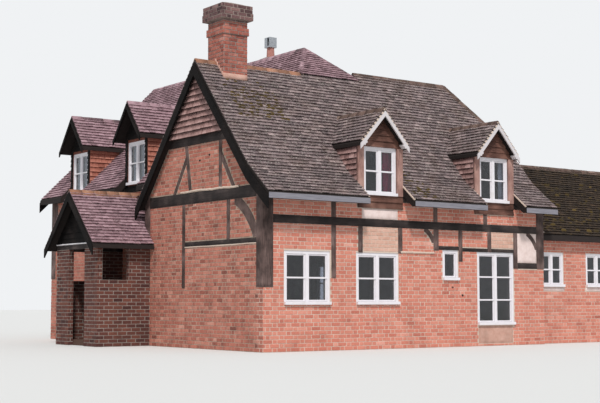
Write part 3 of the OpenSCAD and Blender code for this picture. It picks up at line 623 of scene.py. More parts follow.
@dataclass(frozen=True)
class GlossPaint(Finish):
    """Brushed gloss paint on wood: smooth, a little uneven, dusty where rain doesn't reach."""

    colour: str
    dust: str = "#B9B4A8"

    def paint(self, tree: Tree, place: Socket) -> tuple[dict, dict]:
        """Lays dust in patches, and brush marks about 3 mm apart.

        Args:
            tree: The material's node tree.
            place: Object coordinates.

        Returns:
            Sockets of the bump node and of the shader.
        """
        dirt = add_node(tree, "TexNoise", {"Vector": place, "Scale": 6.0, "Detail": 5.0})
        share = add_node(tree, "MapRange", {
            "Value": dirt, "From Min": 0.5, "From Max": 0.8, "To Max": 0.3})
        colour = add_node(tree, "Mix", {0: share, 6: linear(self.colour), 7: linear(self.dust)},
                          data_type="RGBA")
        marks = add_node(tree, "TexNoise", {"Vector": place, "Scale": 330.0, "Detail": 2.0})
        return ({"Height": marks, "Strength": 0.2, "Distance": 0.0005},
                {"Base Color": colour, "Roughness": 0.35})


@dataclass(frozen=True)
class Plain(Finish):
    """One colour with a soft relief of so many waves to the metre, as its maker left it."""

    colour: str
    waves: float
    detail: float
    strength: float
    depth: float
    look: tuple[tuple[str, float], ...]

    def paint(self, tree: Tree, place: Socket) -> tuple[dict, dict]:
        """Makes the relief of noise.

        Args:
            tree: The material's node tree.
            place: Object coordinates.

        Returns:
            Sockets of the bump node and of the shader.
        """
        noise = add_node(tree, "TexNoise", {
            "Vector": place, "Scale": self.waves, "Detail": self.detail})
        return ({"Height": noise, "Strength": self.strength, "Distance": self.depth},
                {"Base Color": linear(self.colour), **dict(self.look)})


@dataclass(frozen=True)
class PotAndCowl(Finish):
    """Fired clay pot, matt and orange, under a hood of galvanised sheet, grey with a dull shine.

    change is the height at which the clay ends, in metres.
    """

    change: float

    def paint(self, tree: Tree, place: Socket) -> tuple[dict, dict]:
        """Puts mottled clay below the height of change, and spangled zinc over it.

        Args:
            tree: The material's node tree.
            place: Object coordinates.

        Returns:
            Sockets of the bump node and of the shader.
        """
        height = add_node(tree, "SeparateXYZ", {0: place}).outputs["Z"]
        over = add_node(tree, "Math", {0: height, 1: self.change}, operation="GREATER_THAN")
        mottle = add_node(tree, "TexNoise", {"Vector": place, "Scale": 30.0, "Detail": 5.0})
        clay = add_node(tree, "ValToRGB", {"Fac": mottle}, ("#84544A", "#B27A6E", "#CFA096"))
        spangle = add_node(tree, "TexVoronoi", {"Vector": place, "Scale": 60.0})
        zinc = add_node(tree, "ValToRGB", {"Fac": spangle}, ("#C4C8CC", "#A4A9AE", "#8D9297"))
        colour = add_node(tree, "Mix", {0: over, 6: clay, 7: zinc}, data_type="RGBA")
        rough = add_node(tree, "MapRange", {"Value": over, "To Min": 0.85, "To Max": 0.45})
        metal = add_node(tree, "Math", {0: over, 1: 0.5}, operation="MULTIPLY")
        return ({"Height": mottle, "Strength": 0.4, "Distance": 0.002},
                {"Base Color": colour, "Roughness": rough, "Metallic": metal})


@dataclass(frozen=True)
class RoofBody(Finish):
    """Roof under its tiles: painted shade between the tiles, and boards where the roof is cut.

    What faces the front takes the edge colours, drawn as a board; the rest is near black, painted
    shade under the tiles and on the cut sides.
    """

    edge: tuple[str, ...]

    def paint(self, tree: Tree, place: Socket) -> tuple[dict, dict]:
        """Lets the face's own direction pick the edge board or the painted shade.

        Args:
            tree: The material's node tree.
            place: Object coordinates.

        Returns:
            Sockets of the bump node and of the shader.
        """
        normal = add_node(tree, "NewGeometry").outputs["True Normal"]
        level = add_node(tree, "SeparateXYZ", {0: normal}).outputs["Y"]
        front = add_node(tree, "Math", {0: level, 1: -0.9}, operation="LESS_THAN")
        drawn = add_node(tree, "Mapping", {"Vector": place, "Scale": (3.0, 40.0, 90.0)})
        fibres = add_node(tree, "TexNoise", {
            "Vector": drawn, "Scale": 1.0, "Detail": 5.0, "Roughness": 0.65})
        board = add_node(tree, "ValToRGB", {"Fac": fibres}, self.edge)
        # Painted shade: near black wherever the roof body does not face the front.
        shade = add_node(tree, "ValToRGB", {"Fac": fibres}, ("#14100F", "#221C1A", "#2F2724"))
        colour = add_node(tree, "Mix", {0: front, 6: shade, 7: board}, data_type="RGBA")
        return ({"Height": fibres, "Strength": 0.6, "Distance": 0.002},
                {"Base Color": colour, "Roughness": 0.85, "Specular IOR Level": 0.25})


class Grain(Enum):
    """Direction of a timber's fibres."""

    UPRIGHT = (0.0, 0.0, 1.0)
    ALONG_FRONT = (1.0, 0.0, 0.0)
    ALONG_GABLE = (0.0, 1.0, 0.0)


class Palette:
    """All finishes of the house, each made once."""

    def __init__(self) -> None:
        """Makes every material."""
        # Lime mortar: pale and sandy; greyer and darker in the porch, painted shade; dark with soot
        # on the stacks.
        self.mortar, self.sandy_mortar, self.porch_mortar, self.sooted_mortar = (
            Mineral(name, colours, stain, share, grain=5, mottle=20, tone_share=0).build()
            for name, colours, stain, share in (
                ("lime_mortar", ("#B9A392", "#D2BFAF", "#E4D4C6"), "#8E7B6F", 0.4),
                ("sandy_lime_mortar", ("#96816F", "#B5A08F", "#CDBAAA"), "#665448", 0.5),
                ("shaded_porch_lime_mortar", ("#7A726B", "#948B83", "#A9A098"), "#4E4740", 0.5),
                ("sooted_mortar", ("#746660", "#94857D", "#B3A299"), "#3E3633", 0.55)))
        # Hand-moulded clay bricks: matt, each of its own red, darker where weather and soot reach.
        # The porch bricks are dark with painted shade.
        self.front_brick = Mineral("salmon_stock_brick", (
            "#8E4E43", "#B86E5E", "#C97C6A", "#D28976", "#DA9887", "#E8B9A9"), "#86594D",
            0.3).build()
        self.washed_brick = Mineral("limewashed_brick", (
            "#B98C7A", "#CDA18E", "#D9B09E", "#E2BFAE"), "#A88270", 0.35, mottle=70,
            tone_share=0.35).build()
        self.gable_brick = Mineral("weathered_stock_brick", (
            "#613C34", "#94594C", "#B06C5C", "#BE7968", "#CA8C7A", "#DDB0A0"), "#4A3A36", 0.5,
            patch=300).build()
        self.stack_brick = Mineral("chimney_stock_brick", (
            "#55332F", "#874B41", "#A35D4F", "#B26E5F", "#C2877A", "#DAB0A5"), "#4A3838", 0.5,
            mottle=45, tone_share=0.5).build()
        self.sooted_brick = Mineral("sooted_stock_brick", (
            "#2C2224", "#4C3839", "#6E5251", "#866662", "#A18784"), "#2A2628", 0.6).build()
        self.porch_brick = Mineral("shaded_porch_stock_brick", (
            "#33211F", "#4A2E2B", "#613B34", "#75493D", "#875B48"), "#2A1F1D", 0.4).build()
        self.paving = Mineral("worn_paving_brick", ("#4E3A32", "#6B5044", "#836455"),
                              "#4A4038").build()
        # Plain clay tiles: brown, pink or mossy, spotted with lichen, darker under each lap, which
        # is painted shade with some dirt.
        tiles = dict(grain=6)
        self.tile = Mineral("clay_plain_tile", (
            "#171313", "#443B3B", "#6C5E5F", "#8A7978", "#A59290", "#CDBAB3"), "#5A4436", 0.45,
            growth="#D6CFC3", growth_size=34, growth_share=0.8, **tiles).build()
        self.wing_tile = Mineral("clay_plain_tile_pink", (
            "#20171A", "#5C474C", "#8E7177", "#A98A91", "#BD9FA5", "#D8C0C2"), "#5A4244", 0.4,
            growth="#CFC2BE", growth_size=30, **tiles).build()
        # The extension's tiles are mossy and darkened further, partly painted shade.
        self.mossy_shaded_tile = Mineral("clay_plain_tile_mossy_shaded", (
            "#0F0C0A", "#241C17", "#372B22", "#4A3B2D", "#5F4C39"), "#1E1A13", 0.6,
            growth="#5E4C28", growth_size=90, growth_share=0.6, **tiles).build()
        self.hung_tile = Mineral("clay_hung_tile", (
            "#0E0A0A", "#3C2B2A", "#8F6E69", "#B8958F", "#CDAEA8", "#E2C8C2"), "#5A443E", 0.4,
            **tiles).build()
        self.red_hung_tile = Mineral("clay_hung_tile_red", (
            "#2C1814", "#8A5142", "#BC7A68", "#D0937F", "#DFAE9E"), "#5A3C34", 0.35,
            **tiles).build()
        self.ridge_tile = Mineral("clay_ridge_tile", (
            "#3C2F2C", "#5A4740", "#745D55", "#8D746B"), "#3E382F", 0.45, growth="#B0AB94",
            **tiles).build()
        self.orange_ridge_tile = Mineral("clay_ridge_tile_orange", (
            "#6A483A", "#8F6550", "#AB7B62", "#C09480"), "#584A40", 0.45, growth="#B8AE98",
            **tiles).build()
        # Dry moss: brown, rough and without any shine. The vents' mouths are painted shade, black
        # and even.
        self.moss = Mineral("cushion_moss", ("#241D11", "#3C3017", "#53431F", "#6E5A33"), "#332B18",
                            0.5, grain=10, relief=0.006).build()
        self.vent_hole_shade = Mineral("vent_hole_shade", ("#0C0B0A", "#171412", "#231E1A"), tone_share=0).build()
        # Lime plaster and render: smooth, chalky, cloudy over hand widths.
        self.cream_plaster = Mineral("limewashed_plaster", (
            "#CDB4AC", "#DEC9C2", "#EAD8D2", "#F1E4DF"), "#B0958C", 0.35, grain=4, mottle=120,
            tone_share=0, relief=0.001).build()
        self.pink_plaster = Mineral("old_pink_render", (
            "#A88070", "#BE9484", "#CDA696", "#DCBEB0"), "#8A6C60", 0.45, grain=4, mottle=110,
            tone_share=0).build()
        # Oak: hewn and silvered. The level timbers take a darker ramp, painted shade under the
        # eaves
        # and overhangs. Boards: sawn, stained black or brown; the black ramp is held near black,
        # partly painted shade.
        upright = ("#231A18", "#463733", "#6B5752", "#907A74")
        level = ("#120E0D", "#231C1B", "#382F2D", "#554A46")
        black = ("#080707", "#100E0E", "#1B1716", "#2A2321")
        self.oak = {g: Timber(f"weathered_oak_{g.name.lower()}",
                              upright if g is Grain.UPRIGHT else level, g.value).build()
                    for g in Grain}
        self.boards = {g: Timber(f"black_boards_{g.name.lower()}", black, g.value, 7, 0.1).build()
                       for g in Grain}
        self.weatherboard = Timber("brown_weatherboard", (
            "#2E1D18", "#54372E", "#745145", "#8E6C5D"), Grain.ALONG_FRONT.value, 7).build()
        self.corner_board = Timber("faded_corner_board", (
            "#75554D", "#98736A", "#B08A7F", "#C49E92"), Grain.UPRIGHT.value, 7).build()
        self.floor = Timber("waxed_floorboards", ("#4A3322", "#6E5036", "#8A6A4A"),
                            Grain.ALONG_FRONT.value).build()
        self.eaves = RoofBody("silvered_eave_edge", (
            "#4E4C53", "#737178", "#94929A", "#B4B2B9")).build()
        # The verge edges are near black: painted shade on the cut fronts of these roofs.
        self.verges = RoofBody("shaded_verge_edge", ("#1C1716", "#2C2523", "#3A322F")).build()
        self.white = GlossPaint("white_gloss_paint", "#E6E2E6").build()
        self.old_white = GlossPaint("chalky_white_paint", "#D0CACB", "#9A938E").build()
        # Drawn glass: clear, with slow waves some 15 cm long that bend what it shows.
        self.glass = Plain("drawn_window_glass", "#B8BCC6", 6.5, 1.0, 0.3, 0.004, (
            ("Roughness", 0.03), ("IOR", 1.5), ("Transmission Weight", 1.0))).build()
        # Forged iron: nearly black, a dull shine, dents about 4 cm across.
        self.iron = Plain("blackened_iron", "#1D1C1C", 25.0, 3.0, 0.4, 0.004, (
            ("Metallic", 0.6), ("Roughness", 0.5))).build()
        # Woven cotton: soft and matt. Its thread of 0.8 mm is drawn 4 mm wide to show.
        self.crimson, self.cream, self.net = (
            Plain(f"{name}_curtain", colour, 250.0, 2.0, 0.3, 0.001, (
                ("Roughness", 0.9), ("Sheen Weight", 0.2))).build()
            for name, colour in (("crimson", "#C4285A"), ("cream", "#D6D8DC"), ("net", "#DCE2E6")))
        hood = 0.268
        clay_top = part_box("chimney_pot")[1].z - hood
        self.pot = PotAndCowl("terracotta_pot_and_steel_cowl", clay_top).build()


# ---- Courses ----


class Bond(Enum):
    """How the bricks of a course are laid."""

    FLEMISH = "a long face, then an end, in each course"
    STRETCHER = "long faces only"


@dataclass(frozen=True)
class Brickwork:
    """Courses of bricks whose worn faces stand a little out of their mortar.

    The edge of a course that lies closer than snap to an edge of the face moves there.
    """

    course: float = 0.081
    stretcher: float = 0.215
    header: float = 0.102
    joint: float = 0.009
    lift: float = 0.006
    worn: float = 0.006
    bond: Bond = Bond.FLEMISH
    variety: float = 0.17
    seed: int = 1
    snap: float = 0.008
    least_row: float = 0.02
    least_cut: float = 0.022
    least_span: float = 0.04
    least_brick: float = 0.03

    def lay(self, facet: Facet, keep_out: Sequence[Rect] = ()) -> Shell:
        """Covers a face with bricks.

        A course that a window or timber cuts part way up is laid at full height where the face
        allows, and in lower cut bricks elsewhere.

        Args:
            facet: The face.
            keep_out: Rectangles of the face that stay bare.

        Returns:
            The bricks.
        """
        rng = np.random.default_rng(self.seed)
        levels = np.unique(np.concatenate([facet.levels] + [[r.v0, r.v1] for r in keep_out]))
        low, high = float(facet.levels[0]), float(facet.levels[-1])
        across = facet.flat[..., 0]
        ends = (float(across.min()), float(across.max()))

        def snapped(height: float) -> float:
            """The height, or the nearest edge of the face within the snap."""
            edge = float(levels[np.argmin(np.abs(levels - height))])
            return edge if abs(edge - height) < self.snap else height

        rows = []
        for row in range(math.floor(low / self.course), math.ceil(high / self.course)):
            bottom = snapped(max(row * self.course, low))
            top = snapped(min((row + 1) * self.course, high))
            if top - bottom < self.least_row:
                continue
            cuts = levels[(levels > bottom + self.snap) & (levels < top - self.snap)]
            bands = [(a, b, common(facet.free(a + MM, keep_out), facet.free(b - MM, keep_out)))
                     for a, b in pairwise([bottom, *cuts.tolist(), top])]
            whole = bands[0][2]
            for _, _, spans in bands[1:]:
                whole = common(whole, spans)
            parts = [(bottom, top, whole)]
            if len(bands) > 1:
                parts += [(a, b, without(spans, whole)) for a, b, spans in bands]
            rows += [self.fill(row, span, ends, (a, b), rng)
                     for a, b, spans in parts if b - a > self.least_cut
                     for span in spans if span[1] - span[0] > self.least_span]
        return self.bricks(facet, np.concatenate(rows) if rows else np.zeros((0, 4)), rng)

    def fill(self, row: int, span: Span, ends: Span, edges: Span, rng: Rng) -> Array:
        """Divides one span of a course into bricks.

        A course that reaches the corner of the wall ends flush with the bricks of the next
        wall, and one that stops at a timber or a window leaves half a joint.

        Args:
            row: Number of the course, which settles where its joints lie.
            span: The span.
            ends: Both ends of the whole wall.
            edges: Lower and upper edge of the course.
            rng: Source of the bricks' small differences.

        Returns:
            Rows of left, right, lower and upper edge.
        """
        units = [(0.0, self.stretcher)]
        if self.bond is Bond.FLEMISH:
            units.append((self.stretcher + self.joint, self.header))
        period = sum(units[-1]) + self.joint
        shift = (row % 2) * period / 2
        turns = np.arange(math.floor((span[0] - shift) / period) - 1,
                          math.ceil((span[1] - shift) / period) + 1)
        left = np.concatenate([shift + turns * period + start for start, _ in units])
        right = np.concatenate([shift + turns * period + start + size for start, size in units])
        half, flush, near = self.joint / 2, MM - self.lift, 0.004
        first = span[0] + (half if span[0] > ends[0] + near else flush)
        last = span[1] - (half if span[1] < ends[1] - near else flush)
        left = np.clip(left + rng.normal(0, 0.0015, left.shape), first, None)
        right = np.clip(right + rng.normal(0, 0.0015, right.shape), None, last)
        keep = right - left > self.least_brick
        edge = np.full(keep.sum(), half)
        return np.column_stack([left[keep], right[keep], edges[0] + edge, edges[1] - edge])

    def bricks(self, facet: Facet, rects: Array, rng: Rng) -> Shell:
        """Raises each rectangle into a brick: a low pyramid cut off at the height of its face.

        Args:
            facet: The face that the rectangles lie on.
            rects: Rows of left, right, lower and upper edge.
            rng: Source of the bricks' small differences.

        Returns:
            The bricks.
        """
        count = len(rects)
        u0, u1, v0, v1 = (rects + rng.normal(0, 0.001, (count, 4))).T
        rise = (self.lift + rng.normal(0, 0.0012, (count, 4))).T
        base = np.full(count, -0.003)
        e = self.worn
        ring = [(u0, v0, base), (u1, v0, base), (u1, v1, base), (u0, v1, base),
                (u0 + e, v0 + e, rise[0]), (u1 - e, v0 + e, rise[1]),
                (u1 - e, v1 - e, rise[2]), (u0 + e, v1 - e, rise[3])]
        points = np.stack([np.column_stack(c) for c in ring], axis=1)
        tone = np.clip(rng.normal(0.5, self.variety, count), 0, 1)
        return Shell.repeated(facet.place(points), BLOCK, tone)


@dataclass(frozen=True)
class Tiling:
    """Lapped courses of plain tiles, hung tiles or boards.

    Each unit leans: its tail stands out by lift, and its head lies under the next course. Its
    tail edge, its flanks and its head are darker: painted shade under each lap and on the tail
    edge, with some dirt.
    """

    gauge: float = 0.1
    width: float = 0.165
    gap: float = 0.006
    thick: float = 0.024
    lift: float = 0.032
    camber: float = 0.004
    first: float = 0.046
    wander: float = 0.006
    swell: float = 0.010
    lap_shade_and_grime: float = 1.15
    variety: float = 0.15
    seed: int = 2
    lap: float = 1.25
    least_row: float = 0.03
    least_unit: float = 0.02

    @classmethod
    def boards(cls, gauge: float, thick: float, lift: float, seed: int,
               first: float = 0.0) -> "Tiling":
        """Sets out lapped boards that run the whole width of a face."""
        return cls(gauge, 20.0, 0.0, thick, lift, 0.0, first, 0.0, 0.0, seed=seed)

    def lay(self, facet: Facet, keep_out: Sequence[Rect] = (),
            first: Optional[float] = None) -> Shell:
        """Covers a face with lapped units.

        Joints lie at whole widths, moved by half a width in every other course. The end units
        are cut to where the face ends at the foot and at the head of the course, so a hip cuts
        them on the slant.

        Args:
            facet: The face.
            keep_out: Rectangles of the face that stay bare.
            first: Height of the lowest tails over the foot of the face, if not the usual one.

        Returns:
            The units.
        """
        rng = np.random.default_rng(self.seed)
        lowest, high, near = float(facet.levels[0]), float(facet.levels[-1]), 2 * MM
        low = lowest + (self.first if first is None else first)
        rows = []
        for row in range(math.ceil((high - low) / self.gauge)):
            foot = low + row * self.gauge
            head = min(foot + self.lap * self.gauge, high)
            if head - foot < self.least_row:
                continue
            below = facet.free(max(foot, lowest) + near, keep_out)
            above = facet.free(min(foot + self.gauge, high) - near, keep_out)
            if len(below) != len(above):
                below = above = common(below, above)
            for (a0, b0), (a1, b1) in zip(below, above):
                shift = (row % 2) * self.width / 2
                k = np.arange(math.floor((min(a0, a1) - shift) / self.width),
                              math.ceil((max(b0, b1) - shift) / self.width))
                left = shift + k * self.width + self.gap / 2
                right = shift + (k + 1) * self.width - self.gap / 2
                unit = np.column_stack([np.clip(left, a0, b0), np.clip(right, a0, b0),
                                        np.clip(left, a1, b1), np.clip(right, a1, b1),
                                        np.full(len(k), foot), np.full(len(k), head)])
                keep = (unit[:, [1, 3]] - unit[:, [0, 2]] > self.least_unit).any(axis=1)
                rows.append(unit[keep])
        return self.units(facet, np.concatenate(rows) if rows else np.zeros((0, 6)), rng)

    def units(self, facet: Facet, units: Array, rng: Rng) -> Shell:
        """Raises each unit: a crowned upper side, a tail edge and two flanks.

        The crown is the camber at the middle of the width and nothing at its edges. The whole
        course swells and sinks by a sum of two slow sines, as old battens do.

        Args:
            facet: The face that the units lie on.
            units: Rows of left and right at the foot, left and right at the head, foot, head.
            rng: Source of the units' small differences.

        Returns:
            The units.
        """
        a0, b0, a1, b1, foot, head = units.T
        count = len(units)
        middle = (a0 + b0) / 2
        wave = (0.5 + 0.25 * np.sin(middle * 1.7 + foot * 0.9)
                + 0.25 * np.sin(middle * 0.8 - foot * 2.3))
        swell = self.swell * wave
        foot = (foot + rng.uniform(0, self.wander, count)
                + 0.6 * self.wander * np.sin(middle * 3.1 + foot * 7))
        tail = self.lift + swell + rng.normal(0, 0.1, count) * self.lift
        tilt = rng.normal(0, 0.07, count) * self.lift
        crown, under, top = tail + self.camber, tail - self.thick, swell + 0.004
        sunk = np.full(count, -0.004)
        ring = [(a0, foot, tail - tilt), (middle, foot, crown), (b0, foot, tail + tilt),
                (a1, head, top), ((a1 + b1) / 2, head, top + self.camber / 2), (b1, head, top),
                (a0, foot, under), (middle, foot, under), (b0, foot, under),
                (a1, head, sunk), (b1, head, sunk)]
        points = np.stack([np.column_stack(c) for c in ring], axis=1)
        pattern = [(0, 1, 4, 3), (1, 2, 5, 4), (6, 7, 1, 0), (7, 8, 2, 1), (9, 6, 0, 3),
                   (8, 10, 5, 2)]
        tone = np.clip(rng.normal(0.62, self.variety, count), 0.05, 1)[:, None]
        # Painted shade: heads, tail edges and flanks take a darker tone for the shade under each
        # lap, with some dirt.
        lap_shade_and_grime = np.repeat([0.0, 0.5, 0.9], (3, 3, 5)) * self.lap_shade_and_grime
        return Shell.repeated(facet.place(points), pattern, np.clip(tone - lap_shade_and_grime, 0, 1))


@dataclass(frozen=True)
class Crease:
    """Ridge or hip: where two slopes of one roof meet."""

    start: Array
    end: Array
    first: Facet
    second: Facet

    @property
    def run(self) -> float:
        """Its length."""
        return float(np.linalg.norm(self.end - self.start))

    @property
    def along(self) -> Array:
        """Direction from the start to the end."""
        return (self.end - self.start) / self.run

    @property
    def sloping(self) -> bool:
        """Whether it is a hip."""
        return abs(self.along[2]) > 0.1

    @property
    def up(self) -> Array:
        """Sum of both slopes' normals."""
        return self.first.n + self.second.n

    def down(self, facet: Facet) -> Array:
        """Direction down a slope, square to the crease."""
        side = np.cross(facet.n, self.along)
        return side if side @ (facet.centre - self.start) > 0 else -side


def creases(node: str) -> list[Crease]:
    """Finds the ridges and hips of a roof.

    Two slopes meet along the cross product of their normals. They bulge there if each lies
    below the other's plane, and the corners that lie on both planes bound the crease.

    Args:
        node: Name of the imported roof.

    Returns:
        Its ridges and hips.
    """
    found = []
    for one, two in combinations(slopes(node), 2):
        along = np.cross(one.n, two.n)
        if np.linalg.norm(along) < 0.2:
            continue
        along /= np.linalg.norm(along)
        if two.n @ one.centre > two.offset - 0.01 or one.n @ two.centre > one.offset - 0.01:
            continue
        ends = []
        for mine, other in ((one, two), (two, one)):
            points = mine.corners.reshape(-1, 3)
            ends.append(points[np.abs(points @ other.n - other.offset) < 2 * MM])
        if min(map(len, ends)) < 2:
            continue
        t = [(p - ends[0][0]) @ along for p in ends]
        low, high = max(x.min() for x in t), min(x.max() for x in t)
        if high - low > 0.25:
            found.append(Crease(ends[0][0] + low * along, ends[0][0] + high * along, one, two))
    return found


@dataclass(frozen=True)
class Capping:
    """Ridge tiles in a bed of mortar, which follow the two slopes and round over the crease."""

    length: float = 0.3
    leg: float = 0.135
    height: float = 0.034
    tone: float = 0.5
    gap: float = 0.010
    thick: float = 0.014
    seed: int = 3

    def profile(self, crease: Crease, height: float, leg: float) -> Array:
        """Points across the crease.

        Each leg runs down its slope at the given height over it, and between the legs the
        normal turns evenly from one slope's to the other's.

        Args:
            crease: The ridge or hip.
            height: Height over the slopes.
            leg: Length of a leg.

        Returns:
            Seven points, from one leg's foot to the other's, measured from the crease.
        """
        one, two = crease.first.n, crease.second.n
        left, right = crease.down(crease.first) * leg, crease.down(crease.second) * leg
        rows = [left + one * height * 0.55, left / 2 + one * height * 0.95]
        for part in (0.2, 0.5, 0.8):
            turned = (1 - part) * one + part * two
            bulge = 1.1 + 0.25 * math.sin(math.pi * part)
            rows.append(turned / np.linalg.norm(turned) * height * bulge)
        return np.array([*rows, right / 2 + two * height * 0.95, right + two * height * 0.55])

    def lay(self, crease: Crease) -> Shell:
        """Lays the tiles of one crease, each a little tilted, with their cut ends closed.

        Args:
            crease: The ridge or hip.

        Returns:
            The tiles.
        """
        rng = np.random.default_rng(self.seed + int(1000 * abs(crease.start.sum())))
        count = max(1, round(crease.run / self.length))
        starts = np.arange(count) * crease.run / count
        outer = self.profile(crease, self.height, self.leg)
        inner = self.profile(crease, self.height - self.thick, self.leg)
        up = crease.up / np.linalg.norm(crease.up)
        lift = rng.normal(0, 0.0025, (count, 2))[:, :, None, None] * up
        ends = np.stack([starts + self.gap / 2, starts + crease.run / count - self.gap / 2], axis=1)
        axis = crease.start + ends[:, :, None] * crease.along
        rings = axis[:, :, None, None, :] + np.stack([outer, inner])[None, None] + lift[:, :, None]
        p = len(outer)
        pattern = [q for i in range(p - 1) for q in (
            (i, i + 1, 2 * p + i + 1, 2 * p + i), (p + i, p + i + 1, i + 1, i),
            (2 * p + i, 2 * p + i + 1, 3 * p + i + 1, 3 * p + i))]
        pattern += [(p, 0, 2 * p, 3 * p), (p - 1, 2 * p - 1, 4 * p - 1, 3 * p - 1)]
        if np.cross(outer[0] - outer[-1], up) @ crease.along <= 0:
            pattern = [q[::-1] for q in pattern]
        tone = np.clip(rng.normal(self.tone, 0.2, count), 0, 1)
        return Shell.repeated(rings.reshape(count, -1, 3), pattern, tone)

    def bed(self, crease: Crease) -> Shell:
        """Lays the mortar under the tiles of one crease, as one rough strip.

        Args:
            crease: The ridge or hip.

        Returns:
            The mortar.
        """
        rng = np.random.default_rng(self.seed)
        s = np.linspace(0.01, crease.run - 0.01, max(3, int(crease.run / 0.05)))
        across = self.profile(crease, self.height - 0.008, self.leg + 0.012)
        rough = rng.normal(0, 0.0015, (len(s), len(across), 1)) * crease.up
        points = crease.start + s[:, None, None] * crease.along + across[None] + rough
        flip = np.cross(across[-1] - across[0], crease.along) @ crease.up < 0
        return Shell.grid(points[:, ::-1] if flip else points)


# ---- Mouldings and skins ----


def carried(path: Array, offsets: Array, up: Array) -> Shell:
    """Carries a profile along a path: each point of the path plus each offset.

    The sheet is turned round if most of it would face away from up.

    Args:
        path: Points as (count, 3).
        offsets: The profile as (corners, 3).
        up: The way that the sheet faces.

    Returns:
        The sheet.
    """
    points = path[:, None] + offsets
    across, along = points[:-1, 1:] - points[:-1, :-1], points[1:, :-1] - points[:-1, :-1]
    turned = (np.cross(across, along) @ up).sum() < 0
    return Shell.grid(points[:, ::-1] if turned else points)


def prism(path: Array, loop: Array) -> Shell:
    """Carries a closed outline along a path and closes both ends at their middles.

    Args:
        path: Points as (count, 3).
        loop: The outline as (corners, 3), the first corner not repeated.

    Returns:
        The bar.
    """
    ring = np.concatenate([loop, loop[:1]])
    size = np.concatenate([[0.0], np.ones(len(path)), [0.0]])[:, None, None]
    ends = np.concatenate([path[:1], path, path[-1:]])
    middle = loop.mean(axis=0)
    points = ends[:, None] + middle + (ring - middle)[None] * size
    turn = np.cross(ring[:-1] - middle, ring[1:] - middle).sum(axis=0) @ (path[-1] - path[0])
    return Shell.grid(points if turn < 0 else points[:, ::-1])


def circle(sides: int) -> tuple[Array, Array]:
    """Gives the cosines and sines of a round, with the first repeated at the end."""
    turn = np.linspace(0, 2 * math.pi, sides + 1)
    return np.cos(turn), np.sin(turn)


def round_bar(path: Array, radius: float, sides: int = 10) -> Shell:
    """Makes a round rod: a circle square to its line, carried along it.

    Args:
        path: Both ends.
        radius: Radius of the rod.
        sides: Number of its sides.

    Returns:
        The rod.
    """
    along = (path[1] - path[0]) / np.linalg.norm(path[1] - path[0])
    side = np.cross(along, (0.0, 0.0, 1.0))
    side /= np.linalg.norm(side)
    c, s = (part[:-1, None] for part in circle(sides))
    return prism(path, radius * (c * side + s * np.cross(along, side)))


def fillet(facet: Facet, run: Span, v: float, rise: float, out: float, wave: float,
           seed: int) -> Shell:
    """Runs a rounded strip along a level line of a face.

    Its section is half an ellipse, rise high and out deep, and its line wanders by the wave.

    Args:
        facet: The face.
        run: Left and right end.
        v: Height of the strip's lower edge.
        rise: Height of the strip.
        out: How far it stands out.
        wave: How far it wanders.
        seed: Start of its wandering.

    Returns:
        The strip.
    """
    rng = np.random.default_rng(seed)
    u = np.linspace(*run, max(4, int((run[1] - run[0]) / 0.05)))
    line = (v + wave * (np.sin(u * 2.3 + seed) + 0.5 * np.sin(u * 7.1))
            + rng.normal(0, wave / 4, len(u)))
    path = facet.place(np.column_stack([u, line, np.zeros(len(u))]))
    turn = np.linspace(-math.pi / 2, math.pi / 2, 7)
    offsets = ((np.sin(turn) * rise / 2 + rise / 2)[:, None] * facet.v
               + (np.cos(turn) * out - 0.002)[:, None] * facet.n)
    return carried(path, offsets, facet.n)


@dataclass(frozen=True)
class Tufts:
    """Cushions of moss: low domes of eight sides, a few centimetres across."""

    seed: int
    size: Span = (0.02, 0.055)
    height: float = 0.55

    def grow(self, facet: Facet, rect: Rect, count: int) -> Shell:
        """Scatters cushions over a rectangle of a slope, most of them near its lower edge.

        A cushion's rings have radius r (1, 0.8, 0.45, 0.12) and height h (0, 0.5, 0.85, 1).

        Args:
            facet: The slope.
            rect: Where they grow.
            count: How many are tried. Those off the slope are dropped.

        Returns:
            The cushions.
        """
        rng = np.random.default_rng(self.seed)
        u = rng.uniform(rect.u0, rect.u1, count)
        v = rect.v0 + (rect.v1 - rect.v0) * rng.beta(1.2, 2.2, count)
        inside = np.array([any(a + 0.05 < x < b - 0.05 for a, b in facet.spans(y))
                           for x, y in zip(u, v)], dtype=bool)
        u, v = u[inside][:, None, None], v[inside][:, None, None]
        count = len(u)
        radius = rng.uniform(*self.size, count)[:, None, None]
        c, s = (part[:-1] for part in circle(8))
        r = np.array([[1.0], [0.8], [0.45], [0.12]])
        h = np.array([[0.0], [0.5], [0.85], [1.0]])
        rough = 1 + rng.normal(0, 0.12, (count, 4, 8))
        pu, pv = u + radius * 1.3 * r * c * rough, v + radius * 0.8 * r * s * rough
        ph = 0.016 + radius * self.height * h * np.ones((count, 4, 8))
        points = facet.place(np.stack([pu, pv, ph], axis=-1).reshape(count, 32, 3))
        pattern = [(k * 8 + i, k * 8 + (i + 1) % 8, k * 8 + 8 + (i + 1) % 8, k * 8 + 8 + i)
                   for k in range(3) for i in range(8)]
        pattern += [(24, 25, 26, 27), (24, 27, 28, 31), (28, 29, 30, 31)]
        return Shell.repeated(points, pattern, rng.uniform(0.1, 0.9, count))


